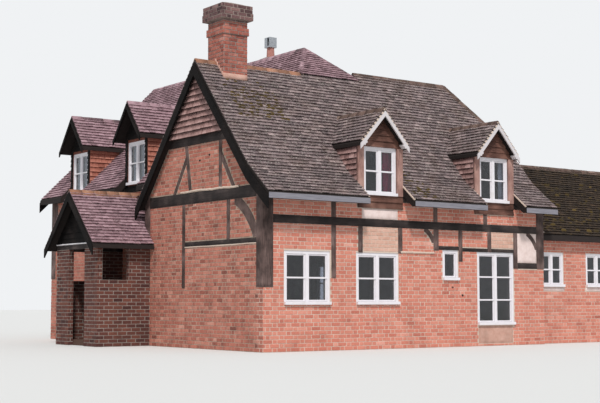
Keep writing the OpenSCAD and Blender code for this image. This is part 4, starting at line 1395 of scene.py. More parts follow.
@dataclass(frozen=True)
class Skin:
    """Uneven skin of a hewn timber or a plaster panel, rolled down at its edges."""

    step: float = 0.06
    height: float = 0.004
    ripple: float = 0.002
    spread: float = 0.006
    roll: float = 0.012
    seed: int = 4

    def cover(self, facet: Facet, rect: Rect) -> Shell:
        """Covers a rectangle of a face.

        The height falls from its full value to just under the face over the roll, and the
        outline wanders outwards by up to the spread.

        Args:
            facet: The face.
            rect: The rectangle.

        Returns:
            The skin.
        """
        rng = np.random.default_rng(self.seed + int(997 * (abs(rect.u0) + abs(rect.v0))))
        sides = []
        for low, high in ((rect.u0, rect.u1), (rect.v0, rect.v1)):
            inner = np.linspace(low + self.roll, high - self.roll,
                                max(3, int((high - low) / self.step) + 1))
            sides.append(np.concatenate([[low], inner, [high]]))
        u, v = np.meshgrid(*sides)
        h = np.full(u.shape, self.height) + rng.normal(0, self.ripple, u.shape)
        out = rng.uniform(0, self.spread, u.shape)
        for edge, sign in ((0, -1), (-1, 1)):
            u[:, edge] += sign * out[:, edge]
            v[edge] += sign * out[edge]
            h[edge] = h[:, edge] = -0.012
        return Shell.grid(facet.place(np.stack([u, v, h], axis=-1)))


# ---- Parts of the house ----


@dataclass
class Part:
    """Part of the house, dressed from the palette."""

    palette: Palette


@dataclass
class Dressing(Part):
    """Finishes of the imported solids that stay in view."""

    def build(self) -> None:
        """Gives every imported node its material."""
        p = self.palette
        finishes = {
            p.mortar: "front_wall end_wall back_wall front_infill extension_side_walls "
                      "extension_end_wall",
            p.sandy_mortar: "gable_wall gable_infill wing_side_walls wing_back_wall wing_infill",
            p.porch_mortar: "porch_walls", p.sooted_mortar: "main_chimney rear_chimney",
            p.oak[Grain.UPRIGHT]: "front_posts gable_studs frame_braces wing_posts",
            # Rails and beams take the darker level oak ramp, painted shade.
            p.oak[Grain.ALONG_FRONT]: "front_rails",
            p.oak[Grain.ALONG_GABLE]: "gable_beams wing_rails porch_frame",
            p.boards[Grain.ALONG_GABLE]:
                "main_bargeboards porch_bargeboards porch_gable wing_dormer_bargeboards",
            p.boards[Grain.ALONG_FRONT]: "wing_bargeboards",
            p.boards[Grain.UPRIGHT]: "door_frame front_door",
            p.white: "ground_windows upper_windows", p.old_white: "front_dormer_bargeboards",
            p.glass: "ground_glass upper_glass", p.floor: "range_floors wing_floors",
            p.paving: "porch_floor", p.pot: "chimney_pot", p.eaves: "main_roof",
            p.verges: "front_dormer_roofs extension_roof wing_roof wing_dormer_roofs porch_roof",
            p.hung_tile: "gable_tiles", p.red_hung_tile: "wing_dormer_walls",
            p.weatherboard: "front_dormer_walls"}
        for material, nodes in finishes.items():
            for node in nodes.split():
                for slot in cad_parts[node].material_slots:
                    slot.material = material
        LOG.info("dressed %d packed nodes", sum(len(nodes.split()) for nodes in finishes.values()))


@dataclass
class Walls(Part):
    """Brick walls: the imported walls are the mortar, and the bricks are laid on their faces.

    Vents are the places of small dark holes in the front and in the upper gable.
    """

    front_vents: tuple[Span, ...] = ((5.004, 1.289), (5.300, 1.115))
    gable_vents: tuple[Span, ...] = ((-2.381, 3.962), (-1.997, 4.049))
    vent: float = 0.030

    def build(self) -> None:
        """Lays the bricks of every wall, its plaster panels and its mortar fillets."""
        p = self.palette
        front, upper = plane("front_wall", Facing.FRONT), plane("front_infill", Facing.FRONT)
        cream, below, under = self.panels()
        washed = self.washed()
        make_piece("washed_bricks", [Brickwork(variety=0.3, seed=14).lay(front, r.outside())
                                     for r in washed], p.washed_brick)
        bricks = [Brickwork().lay(front, [cream, below, *washed]),
                  Brickwork(seed=5).lay(upper, [under])]
        make_piece("front_bricks", bricks, p.front_brick)
        skin = Skin(step=0.07, height=0.005, ripple=0.0008, spread=0.008, seed=9)
        make_piece("cream_panels", [skin.cover(front, cream), skin.cover(upper, under)],
                   p.cream_plaster, True)
        make_piece("pink_panel", [skin.cover(front, below)], p.pink_plaster, True)
        left, right, back = Facing.LEFT, Facing.RIGHT, Facing.BACK
        worn = Brickwork(joint=0.010, lift=0.005, variety=0.20, seed=6)
        self.courses("gable", [(("front_wall", "gable_wall", "back_wall"), left),
                               ("gable_infill", left)], p.gable_brick, "gable_brick", worn)
        self.courses("end", [(("end_wall", "front_wall", "back_wall"), right),
                             (("back_wall", "end_wall"), back)], p.front_brick, "front_brick",
                     Brickwork(seed=7))
        # The wing's walls take the darker gable brick, partly painted shade under the wing's eaves.
        self.courses("wing", [("wing_side_walls", left), ("wing_side_walls", right),
                              (("wing_back_wall", "wing_side_walls"), back)],
                     p.gable_brick, "gable_brick", Brickwork(seed=8))
        self.courses("wing_upper", [("wing_infill", way) for way in (left, right, back)],
                     p.gable_brick, "gable_brick", Brickwork(seed=9))
        self.courses("extension", [("extension_side_walls", Facing.FRONT),
                                   ("extension_side_walls", back),
                                   (("extension_end_wall", "extension_side_walls"), right)],
                     p.front_brick, "front_brick", Brickwork(seed=10), self.bands())
        self.fillets(front)

    def courses(self, name: str, walls: Sequence[tuple[Names, Facing]], material: Material,
                slot: str, work: Brickwork, keep_out: Sequence[Rect] = ()) -> None:
        """Lays bricks on the outermost faces of some walls.

        Args:
            name: Name of the walls.
            walls: Walls, or walls that share a plane, each with the way that its face looks.
            material: Finish of the bricks.
            slot: Its name in the record; not used.
            work: How the bricks are laid.
            keep_out: Rectangles of the front face that stay bare.
        """
        shells = [work.lay(f, keep_out if way is Facing.FRONT else ())
                  for nodes, way in walls for f in facets(nodes, way, True)]
        make_piece(f"{name}_bricks", shells, material)

    def long_rail(self) -> Solid:
        """Gives the long rail of the front."""
        return max(solids("front_rails"), key=lambda s: s.high[0] - s.low[0])

    def washed(self) -> list[Rect]:
        """Finds the limewashed brick panels.

        Returns:
            Those between the studs over the second and over the tall window.
        """
        windows = ordered("ground_windows", 0, True)
        rects = []
        for (low, high, _), part in ((windows[1], 0.5), (windows[3], 0.75)):
            at = low[0] + part * (high[0] - low[0])
            studs = [s for s in solids("front_posts") if s.low[2] < high[2] + 0.2 < s.high[2]]
            left = max(s.high[0] for s in studs if s.high[0] < at)
            right = min(s.low[0] for s in studs if s.low[0] > at)
            rects.append(Rect(left, right, high[2] + 0.005, self.long_rail().low[2]))
        return rects

    def panels(self) -> tuple[Rect, Rect, Rect]:
        """Finds the plastered panels.

        Returns:
            The one on the lowest front rail, the one under the tall window, and the one under
            the left dormer, which lies on the upper face.
        """
        beam, rail = ordered("front_rails", 2)[0], self.long_rail()
        tall = max(solids("ground_windows"), key=lambda s: s.high[2] - s.low[2])
        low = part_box("front_dormer_walls")[0]
        return (Rect(beam.low[0], beam.high[0], beam.high[2], rail.low[2]),
                Rect(tall.low[0] + 0.02, tall.high[0] - 0.05, 0.05, tall.low[2] - 0.015),
                Rect(low.x + 0.12, low.x + 1.09, rail.high[2], low.z))

    def bands(self) -> list[Rect]:
        """Lays a cream band under the sill of each extension window.

        Returns:
            Their places.
        """
        set_back = 0.055
        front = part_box("extension_side_walls")[0].y
        rects = [Rect(low[0] - 0.02, high[0] + 0.02, low[2] - 0.105, low[2] - 0.008)
                 for low, high, _ in solids("ground_windows")
                 if abs(low[1] + set_back - front) < 0.01]
        skin = Skin(step=0.1, height=0.012, ripple=0.0006, spread=0.002, seed=12)
        facet = plane("extension_side_walls", Facing.FRONT)
        make_piece("extension_sill_bands", [skin.cover(facet, r) for r in rects],
                   self.palette.cream_plaster, True)
        return rects

    def fillets(self, front: Facet) -> None:
        """Runs the pale mortar lines over and under the beams, and makes the vent holes.

        Args:
            front: Face of the front wall.
        """
        gable, upper = plane("gable_wall", Facing.LEFT), plane("gable_infill", Facing.LEFT)
        rail, beam = ordered("gable_beams", 2)[:2]
        short = ordered("front_rails", 2)[0]
        left, small = ordered("ground_windows", 0, True)[1:3]
        runs = [fillet(upper, (-3.15, -0.85), beam.high[2] - 0.006, 0.052, 0.030, 0.010, 1),
                fillet(gable, (-rail.high[1], -rail.low[1]), rail.low[2] - 0.030, 0.034, 0.016,
                       0.003, 2),
                fillet(front, (short.low[0], short.high[0]), short.low[2] - 0.030, 0.034, 0.014,
                       0.002, 3),
                fillet(front, (left.high[0] + 0.04, small.low[0] - 0.26), left.high[2] + 0.002,
                       0.050, 0.034, 0.004, 4)]
        make_piece("mortar_fillets", runs, self.palette.mortar, smooth=True)
        vents = ((front, self.front_vents), (upper, self.gable_vents))
        holes = [self.hole(facet, *at) for facet, places in vents for at in places]
        make_piece("vent_holes", holes, self.palette.vent_hole_shade)

    def hole(self, facet: Facet, u: float, v: float) -> Shell:
        """Makes a vent's mouth in the brickwork, a dark disc of painted shade, of rings from the
        brick face to its middle.

        Its radius is the vent's, times 1 + 0.12 sin(3 turn).

        Args:
            facet: The face.
            u: Place of its middle along the face.
            v: Place of its middle up the face.

        Returns:
            The mouth.
        """
        turn = np.linspace(0, 2 * math.pi, 11)
        r = np.array([[1.0], [0.9], [0.5], [0.0]]) * self.vent * (1 + 0.12 * np.sin(3 * turn))
        h = np.broadcast_to(np.array([[0.001], [0.0085], [0.0070], [0.0065]]), r.shape)
        rings = np.stack([u + r * np.cos(turn), v + 0.8 * r * np.sin(turn), h], axis=-1)
        return Shell.grid(facet.place(rings)[::-1])


@dataclass
class Roofs(Part):
    """Tiled roofs and tile hanging."""

    def build(self) -> None:
        """Tiles every slope, caps every ridge and hip, and hangs the tiles of the gables."""
        p = self.palette
        cap, narrow = Capping(), Capping(0.17, 0.075, 0.028, 0.35)
        for node, tile, ridge, seed in (
                ("main_roof", p.tile, p.ridge_tile, 20),
                ("wing_roof", p.wing_tile, p.wing_tile, 21),
                ("extension_roof", p.mossy_shaded_tile, p.ridge_tile, 22),
                ("porch_roof", p.wing_tile, p.orange_ridge_tile, 23),
                ("front_dormer_roofs", p.tile, p.ridge_tile, 24),
                ("wing_dormer_roofs", p.wing_tile, p.wing_tile, 25)):
            name = node.replace("roofs", "roof")
            low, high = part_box(node)
            work = Tiling(seed=seed)
            shells = [work.lay(f, (), None if f.foot < low.z + 0.3 else -0.012)
                      for f in slopes(node) if f.rise > 0.2]
            make_piece(f"{name}_tiles", shells, tile)
            lines = creases(node)
            orange = [node == "main_roof" and not c.sloping and c.start[2] < high.z - 0.1
                      for c in lines]
            hip = narrow if ridge is p.wing_tile else cap
            make_piece(f"{name}_ridge", [(hip if c.sloping else cap).lay(c)
                                         for c, other in zip(lines, orange) if not other],
                       ridge, True)
            if any(orange):
                low_ridge = [cap.lay(c) for c, other in zip(lines, orange) if other]
                make_piece(f"{name}_low_ridge", low_ridge, p.orange_ridge_tile, True)
            beds = [(narrow if c.sloping else cap).bed(c) for c in lines]
            make_piece(f"{name}_ridge_mortar", beds, p.sandy_mortar)
        # The dark lines between the hung tiles' courses are mostly painted shade.
        hung = Tiling(gauge=0.125, first=0.0, swell=0.004, lift=0.046, thick=0.036, wander=0.004,
                      lap_shade_and_grime=1.5, variety=0.08, seed=30)
        make_piece("gable_hung_tiles", [hung.lay(f) for way in SIDES
                                        for f in facets("gable_tiles", way, True)],
                   p.hung_tile)
        front = [f for f in slopes("main_roof") if f.n[1] < 0]
        eave = min(front, key=lambda f: f.foot)
        low = min(slopes("extension_roof"), key=lambda f: f.n[1])
        self.cushions(max(front, key=lambda f: f.levels[-1]), eave, low)
        self.eave_ends(min((f for f in front if f.n[1] < -0.5), key=lambda f: f.foot))
        self.end_wall(low)

    def cushions(self, steep: Facet, eave: Facet, low: Facet) -> None:
        """Grows moss below the main stack, beside the left dormer and over the extension roof.

        Args:
            steep: Front slope of the main roof.
            eave: Its flatter foot.
            low: Front slope of the extension.
        """
        top = float(low.levels[-1])
        beds = [Tufts(91).grow(steep, Rect(0.25, 1.5, 4.45, 5.75), 170),
                Tufts(92).grow(steep, Rect(3.62, 4.15, 2.50, 3.50), 55),
                Tufts(94).grow(eave, Rect(3.62, 4.30, eave.levels[0] + 0.05, eave.levels[-1]), 40),
                Tufts(93, (0.03, 0.08)).grow(low, Rect(7.95, 12.7, top - 2.9, top - 0.1), 170)]
        make_piece("roof_moss", beds, self.palette.moss, smooth=True)

    def eave_ends(self, eave: Facet) -> None:
        """Beds a rounded bar of mortar on the cut sides of the eaves, beside the front dormers.

        Args:
            eave: The flatter foot of the main roof's front slope.
        """
        c, s = (part[:-1, None] for part in circle(8))
        loop = 0.017 * c * [1.0, 0, 0] + 0.022 * s * eave.n
        y = np.linspace(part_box("main_roof")[0].y + 0.030, 0.02, 8)
        runs = [prism(np.column_stack([np.full(8, x), y, eave.over(y)]), loop)
                for low, high, _ in solids("front_dormer_walls")
                for x in (low[0] - 0.006, high[0] + 0.006)]
        make_piece("eave_end_fillets", runs, self.palette.mortar, smooth=True)

    def end_wall(self, slope: Facet) -> None:
        """Beds mortar where the extension's roof meets the end wall, soft and three-cornered.

        Args:
            slope: Front slope of the extension.
        """
        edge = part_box("extension_roof")[0]
        y = np.linspace(edge.y + 0.03, slope.corners[..., 1].max() - 0.12, 30)
        path = np.column_stack([np.full(30, edge.x + 0.002), y, slope.over(y)])
        across, up = np.array([1.0, 0.0, 0.0]), np.array([0.0, -0.35, 0.94])
        rows = ((-0.01, 0.105), (0.030, 0.100), (0.036, 0.060), (0.060, 0.048), (0.105, 0.042),
                (0.110, 0.010))
        section = np.array([a * across + b * up for a, b in rows])
        make_piece("end_wall_fillet", [carried(path, section, up + 0.4 * across)],
                   self.palette.mortar, smooth=True)


@dataclass
class Frame(Part):
    """Oak frame: each straight timber gets an uneven hewn skin."""

    skin: Skin = Skin(height=0.003, ripple=0.0012, roll=0.01)
    faces: tuple[tuple[str, Grain, tuple[Facing, ...]], ...] = (
        ("front_posts", Grain.UPRIGHT, (Facing.FRONT, Facing.LEFT, Facing.RIGHT)),
        ("gable_studs", Grain.UPRIGHT, (Facing.LEFT,)),
        ("wing_posts", Grain.UPRIGHT, (Facing.LEFT, Facing.RIGHT, Facing.BACK)),
        ("front_rails", Grain.ALONG_FRONT, (Facing.FRONT,)),
        ("wing_rails", Grain.ALONG_FRONT, (Facing.BACK,)),
        ("gable_beams", Grain.ALONG_GABLE, (Facing.LEFT,)),
        ("wing_rails", Grain.ALONG_GABLE, (Facing.LEFT, Facing.RIGHT)))

    def build(self) -> None:
        """Dresses the timbers of all walls. A gable stud that leans or is cut stays plain."""
        for grain in Grain:
            shells = []
            for node, way, facings in self.faces:
                for face in (plane(node, facing) for facing in facings if way is grain):
                    for low, high, plain in solids(node):
                        if plain or node != "gable_studs":
                            shells += self.face(face, low, high)
            make_piece(f"hewn_faces_{grain.name.lower()}", shells, self.palette.oak[grain],
                       True)

    def face(self, facet: Facet, low: Array, high: Array) -> list[Shell]:
        """Covers the side of a timber that lies in a face, if it has one.

        Where a roof cuts the timber, the cover is the largest rectangle under the cut.

        Args:
            facet: The face.
            low: Lowest corner of the timber.
            high: Highest corner of the timber.

        Returns:
            The cover, or nothing.
        """
        corners = np.array([low, high])
        if abs((corners @ facet.n).max() - facet.offset) > 2 * MM:
            return []
        u, v, near = corners @ facet.u, corners @ facet.v, 0.004
        most, best = 0.0, []
        for top in np.linspace(v.max(), v.max() - min(0.6, 0.8 * (v.max() - v.min())), 13):
            shared = common(facet.spans(v.min() + near), facet.spans(top - near))
            for a, b in common(shared, [(u.min(), u.max())]):
                if (b - a) * (top - v.min()) > most + 1e-4:
                    most, best = (b - a) * (top - v.min()), [Rect(a, b, v.min(), top)]
        return [self.skin.cover(facet, rect) for rect in best]


@dataclass
class Windows(Part):
    """Casements: a moulded frame round each light and a rounded face on each glazing bar."""

    mullion: float = 0.070
    bar: float = 0.032
    pane_height: float = 0.45
    sash: float = 0.034
    sash_lift: float = 0.016
    single: float = 0.6

    def build(self) -> None:
        """Makes the casements of every window."""
        frames, bars = [], []
        for node in ("ground_glass", "upper_glass"):
            for low, high, _ in solids(node):
                facet, rect = self.face_of(low, high)
                for light in self.lights(rect):
                    frames.append(self.moulding(facet, light))
                    bars += self.bars(facet, light)
        make_piece("casement_frames", frames, self.palette.white)
        make_piece("casement_bars", bars, self.palette.white)

    def face_of(self, low: Array, high: Array) -> tuple[Facet, Rect]:
        """Finds the outer face of a sheet of glass.

        The face looks away from the middle of the wing, along the glass's thin side.

        Args:
            low: Lowest corner of the glass.
            high: Highest corner of the glass.

        Returns:
            The face and the glass's rectangle on it.
        """
        thin = int(np.argmin(high - low))
        middle = np.array(sum(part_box("wing_roof"), Vector()) / 2)
        n = np.zeros(3)
        n[thin] = 1.0 if (low + high)[thin] / 2 > middle[thin] else -1.0
        flat = np.array([low, high])
        flat[:, thin] = high[thin] if n[thin] > 0 else low[thin]
        facet = Facet(flat[[0, 1, 1]][None], n)
        u, v = flat @ facet.u, flat @ facet.v
        return facet, Rect(u.min(), u.max(), v.min(), v.max())

    def lights(self, rect: Rect) -> list[Rect]:
        """Divides a window into its lights.

        Args:
            rect: The glass.

        Returns:
            One light, or two where it is wider than a single one.
        """
        u0, u1, v0, v1 = rect
        if u1 - u0 < self.single:
            return [rect]
        middle, half = (u0 + u1) / 2, self.mullion / 2
        return [Rect(u0, middle - half, v0, v1), Rect(middle + half, u1, v0, v1)]

    def moulding(self, facet: Facet, light: Rect) -> Shell:
        """Runs a moulding round a light.

        Its section rises from the glass over a bevel, runs flat and drops at the outer edge,
        and each point of the section becomes a rectangle inset by its place across the frame.

        Args:
            facet: Face of the glass.
            light: The light.

        Returns:
            The moulding.
        """
        sash, top = self.sash, self.sash_lift
        inset, lift = np.array([(0.0, 0.004), (0.002, top + 0.006), (0.008, top + 0.008),
                                (sash - 0.010, top + 0.008), (sash - 0.004, top), (sash, 0.001)]).T
        u0, u1, v0, v1 = light.u0 + inset, light.u1 - inset, light.v0 + inset, light.v1 - inset
        ring = np.stack([np.stack([a, b, lift], axis=-1)
                         for a, b in ((u0, v0), (u1, v0), (u1, v1), (u0, v1), (u0, v0))], axis=1)
        return Shell.grid(facet.place(ring))

    def bars(self, facet: Facet, light: Rect) -> list[Shell]:
        """Rounds the face of each level glazing bar of a light: a flat arc across the bar.

        Args:
            facet: Face of the glass.
            light: The light.

        Returns:
            The bars.
        """
        rows = max(1, round((light.v1 - light.v0) / self.pane_height))
        pane = (light.v1 - light.v0 - (rows - 1) * self.bar) / rows
        turn = np.linspace(-1, 1, 7)[:, None]
        u = np.array([light.u0 + self.sash * 0.6, light.u1 - self.sash * 0.6])
        h = 0.002 + self.sash_lift * np.sqrt(np.clip(1 - turn ** 2, 0, 1))
        made = []
        for k in range(1, rows):
            v = light.v0 + k * pane + (k - 0.5) * self.bar + turn * self.bar * 0.45
            made.append(Shell.grid(facet.place(np.stack(np.broadcast_arrays(u, v, h), axis=-1))))
        return made


@dataclass
class Curtains(Part):
    """Curtains gathered on thin rods behind the dormer windows."""

    set_back: float = 0.077
    fold: float = 0.085
    depth: float = 0.016
    rod: float = 0.007
    drawn: tuple[float, float] = (0.21, 0.14)

    def build(self) -> None:
        """Hangs a coloured curtain in each front dormer and a net in each wing dormer."""
        p = self.palette
        glass = solids("upper_glass")
        front = sorted((s for s in glass if s.high[1] < 0.3), key=lambda s: s.low[0])
        side = sorted((s for s in glass if s.high[1] >= 0.3 and s.high[0] - s.low[0] < 0.1),
                      key=lambda s: (s.low[0], s.low[1]))
        windows = Windows(p)
        for k, (pane, cloth) in enumerate(zip(front, (p.crimson, p.cream))):
            facet, rect = windows.face_of(pane.low, pane.high)
            hung = Rect(rect.u1 - self.drawn[k], rect.u1 + 0.01, rect.v0 - 0.02, rect.v1 + 0.03)
            self.hang(f"dormer_curtain_{k + 1}", facet, hung, rect, cloth, 80 + k)
        for k, pane in enumerate(side):
            facet, rect = windows.face_of(pane.low, pane.high)
            hung = Rect(rect.u0 + 0.01, rect.u1 - 0.01, rect.v0 - 0.02, rect.v1 + 0.02)
            self.hang(f"net_curtain_{k + 1}", facet, hung, rect, p.net, 84 + k)

    def hang(self, name: str, facet: Facet, rect: Rect, window: Rect, cloth: Material,
             seed: int) -> None:
        """Hangs one curtain on its rod.

        Across its width it stands out by two sines of the distance, which grow from the rod
        down.

        Args:
            name: Name of the curtain.
            facet: Outer face of the glass.
            rect: Where the gathered cloth hangs.
            window: The glass.
            cloth: Its finish.
            seed: Start of its folds.
        """
        rng = np.random.default_rng(seed)
        u = np.linspace(rect.u0, rect.u1, max(40, int((rect.u1 - rect.u0) / 0.006)))
        v = np.linspace(rect.v1, rect.v0, 26)[:, None]
        phase = 2 * math.pi * (u / self.fold + 0.35 * np.sin(u * 9 + rng.uniform(0, 6)))
        fall = (rect.v1 - v) / (rect.v1 - rect.v0)
        h = (0.004 * np.sin(2.3 * phase + 3 * fall) - self.set_back
             - self.depth * (0.75 + 0.35 * fall) * np.sin(phase + 0.5 * fall))
        points = facet.place(np.stack(np.broadcast_arrays(u, v, h), axis=-1))
        piece = make_piece(name, [Shell.grid(points[::-1])], cloth, smooth=True)
        line = np.array([[end, rect.v1 + 0.008, -self.set_back]
                         for end in (window.u0 - 0.03, window.u1 + 0.03)])
        rod = make_piece(f"{name}_rod", [round_bar(facet.place(line), self.rod)], self.palette.iron,
                         smooth=True)


@dataclass
class Stacks(Part):
    """Chimney stacks."""

    course: float = 0.081
    sooted: float = 0.36

    def build(self) -> None:
        """Lays the bricks and mortar heads of both stacks and mortar at the main one's foot."""
        for node, foot, hole, seed in (("main_chimney", 5.4, 0.13, 40),
                                       ("rear_chimney", 5.3, 0.115, 50)):
            low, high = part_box(node)
            middle = np.array((low + high) / 2)
            neck = high.z - self.sooted
            below, above, inside = (Rect(-FAR, FAR, *v)
                                    for v in ((neck, FAR), (-1, neck), (-1, foot)))
            shaft, cap = [], []
            for step, way in enumerate((Facing.FRONT, Facing.BACK, Facing.LEFT, Facing.RIGHT)):
                work = Brickwork(course=high.z / round(high.z / self.course), joint=0.011,
                                 variety=0.24, seed=seed + step)
                outer = [f for f in facets(node, way) if f.n @ (f.centre - middle) > 0.2]
                shaft += [work.lay(f, (below, inside)) for f in outer]
                cap += [work.lay(f, (above,)) for f in outer]
            make_piece(f"{node}_bricks", shaft, self.palette.stack_brick)
            make_piece(f"{node}_head_bricks", cap, self.palette.sooted_brick)
            if node == "main_chimney":
                self.shoulder(work)
            make_piece(f"{node}_flaunching", [self.flaunching(low, high, hole)],
                       self.palette.sooted_mortar, smooth=True)
        self.collar()

    def shoulder(self, work: Brickwork) -> None:
        """Brings out the two courses under the main stack's top band, where its head is widest.

        Args:
            work: How the bricks are laid.
        """
        low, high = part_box("main_chimney")
        foot, top, out = high.z - 4 * work.course, high.z - 2 * work.course, 0.012
        middle = np.array([(low.x + high.x) / 2, (low.y + high.y) / 2, 0.0])
        half = np.array([high.x - low.x, high.y - low.y, 0.0]) / 2 + [out, out, 0.0]
        loop = np.array([(-1, -1, 0), (1, -1, 0), (1, 1, 0), (-1, 1, 0)]) * half
        core = prism(middle + [[0, 0, foot + 0.003], [0, 0, top - 0.003]], loop)
        make_piece("main_chimney_shoulder_mortar", [core], self.palette.sooted_mortar)
        shells, up = [], np.array([0.0, 0.0, 1.0])
        for k, way in enumerate((Facing.FRONT, Facing.RIGHT, Facing.BACK, Facing.LEFT)):
            a, b = middle + loop[k], middle + loop[(k + 1) % 4]
            corners = np.array([[a + foot * up, b + foot * up, b + top * up],
                                [a + foot * up, b + top * up, a + top * up]])
            shells.append(work.lay(Facet(corners, np.array(way.value))))
        make_piece("main_chimney_shoulder_bricks", shells, self.palette.sooted_brick)

    def flaunching(self, low: Vector, high: Vector, hole: float) -> Shell:
        """Slopes mortar from the edge of the head up to the flue.

        Rings run from a square at the edge to a round at the flue, and rise as the sine of the way.

        Args:
            low: Lowest corner of the stack.
            high: Highest corner of the stack.
            hole: Half the width left open for the flue.

        Returns:
            The mortar.
        """
        rim, rise = 0.045, 0.075
        unit = np.column_stack(circle(32))
        square = unit / np.abs(unit).max(axis=1)[:, None]
        half = np.array([high.x - low.x, high.y - low.y]) / 2 - rim
        part = np.linspace(0, 1, 7)[:, None, None]
        flat = square * half * (1 - part) + unit * hole * part
        rng = np.random.default_rng(44)
        z = high.z + rise * np.sin(part[..., 0] * math.pi / 2) + rng.normal(0, 0.002, (7, 33))
        z[0] = high.z - 0.004
        z[:, -1] = z[:, 0]
        middle = [(low.x + high.x) / 2, (low.y + high.y) / 2]
        points = np.concatenate([flat + middle, z[..., None]], axis=-1)
        lip = points[-1:].copy()
        lip[..., 2] = high.z - 0.02
        return Shell.grid(np.concatenate([points, lip])[::-1])

    def collar(self) -> None:
        """Beds mortar round the foot of the main stack: a band in front, steps up each side."""
        face = max(facets("main_chimney", Facing.FRONT), key=lambda f: f.rise)
        slope = max((f for f in slopes("main_roof") if f.n[1] < -0.7), key=lambda f: len(f.corners))
        y, step = -face.offset, 0.065
        foot = slope.over(y)
        a, b = face.spans(foot + 0.3)[0]
        skin = Skin(step=0.08, height=0.012, ripple=0.0012, spread=0.003, roll=0.008, seed=45)
        shells = [skin.cover(face, Rect(a - 0.008, b + 0.008, foot - 0.03, foot + 0.115))]
        for way in SIDES:
            side = max(facets("main_chimney", way), key=lambda f: f.rise)
            for start in (y + step * k for k in range(5)):
                if start <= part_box("main_roof")[0].y + 3.0:
                    z = slope.over(start + step)
                    ends = sorted((side.u[1] * start, side.u[1] * (start + 0.072)))
                    shells.append(skin.cover(side, Rect(*ends, z - 0.12, z + 0.075)))
        make_piece("stack_collar", shells, self.palette.pink_plaster, smooth=True)


@dataclass
class Porch(Part):
    """Brick porch with pale joints, a boarded gable and the house door behind it."""

    planks: int = 6
    ring: float = 0.045
    ring_wire: float = 0.006

    def build(self) -> None:
        """Lays the bricks of the porch, boards its gable and planks the door."""
        p = self.palette
        work = Brickwork(joint=0.010, lift=0.005, seed=60, bond=Bond.STRETCHER)
        shells = [work.lay(f) for way in (Facing.FRONT, Facing.LEFT, Facing.BACK)
                  for f in facets("porch_walls", way)]
        make_piece("porch_bricks", shells, p.porch_brick)
        gable = plane("porch_gable", Facing.LEFT)
        make_piece("porch_gable_boards", [Tiling.boards(0.125, 0.018, 0.022, 61, 0.012).lay(gable)],
                   p.boards[Grain.ALONG_GABLE])
        low = float(gable.levels[0])
        strip = fillet(gable, gable.spans(low + 0.01)[0], low - 0.006, 0.034, 0.030, 0.0, 62)
        make_piece("porch_gable_strip", [strip], p.white, True)
        self.door()

    def door(self) -> None:
        """Planks the door, with iron straps and an iron ring: a small circle round a large one."""
        low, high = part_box("front_door")
        face = plane("front_door", Facing.LEFT)
        plank = Skin(step=0.4, height=0.009, ripple=0.0004, spread=0.0, roll=0.005, seed=63)
        edges = np.linspace(-high.y + 0.004, -low.y - 0.004, self.planks + 1)
        planks = [plank.cover(face, Rect(a + MM, b - MM, low.z + 0.006, high.z - 0.004))
                  for a, b in pairwise(edges.tolist())]
        make_piece("door_planks", planks, self.palette.boards[Grain.UPRIGHT])
        strap = Skin(step=0.06, height=0.015, ripple=0.0004, spread=0.002, roll=0.005)
        straps = [strap.cover(face, Rect(-high.y + 0.01, -high.y + 0.62, z, z + 0.042))
                  for z in (low.z + 0.35, high.z - 0.40)]
        centre = np.array([low.x - 0.024, low.y + 0.09, low.z + 0.98])
        large = np.column_stack([np.zeros(25), *circle(24)])
        c, s = circle(8)
        points = centre + large[:, None] * (self.ring + self.ring_wire * c)[None, :, None]
        points[..., 0] += self.ring_wire * s
        make_piece("door_ironwork", straps + [Shell.grid(points)], self.palette.iron, smooth=True)


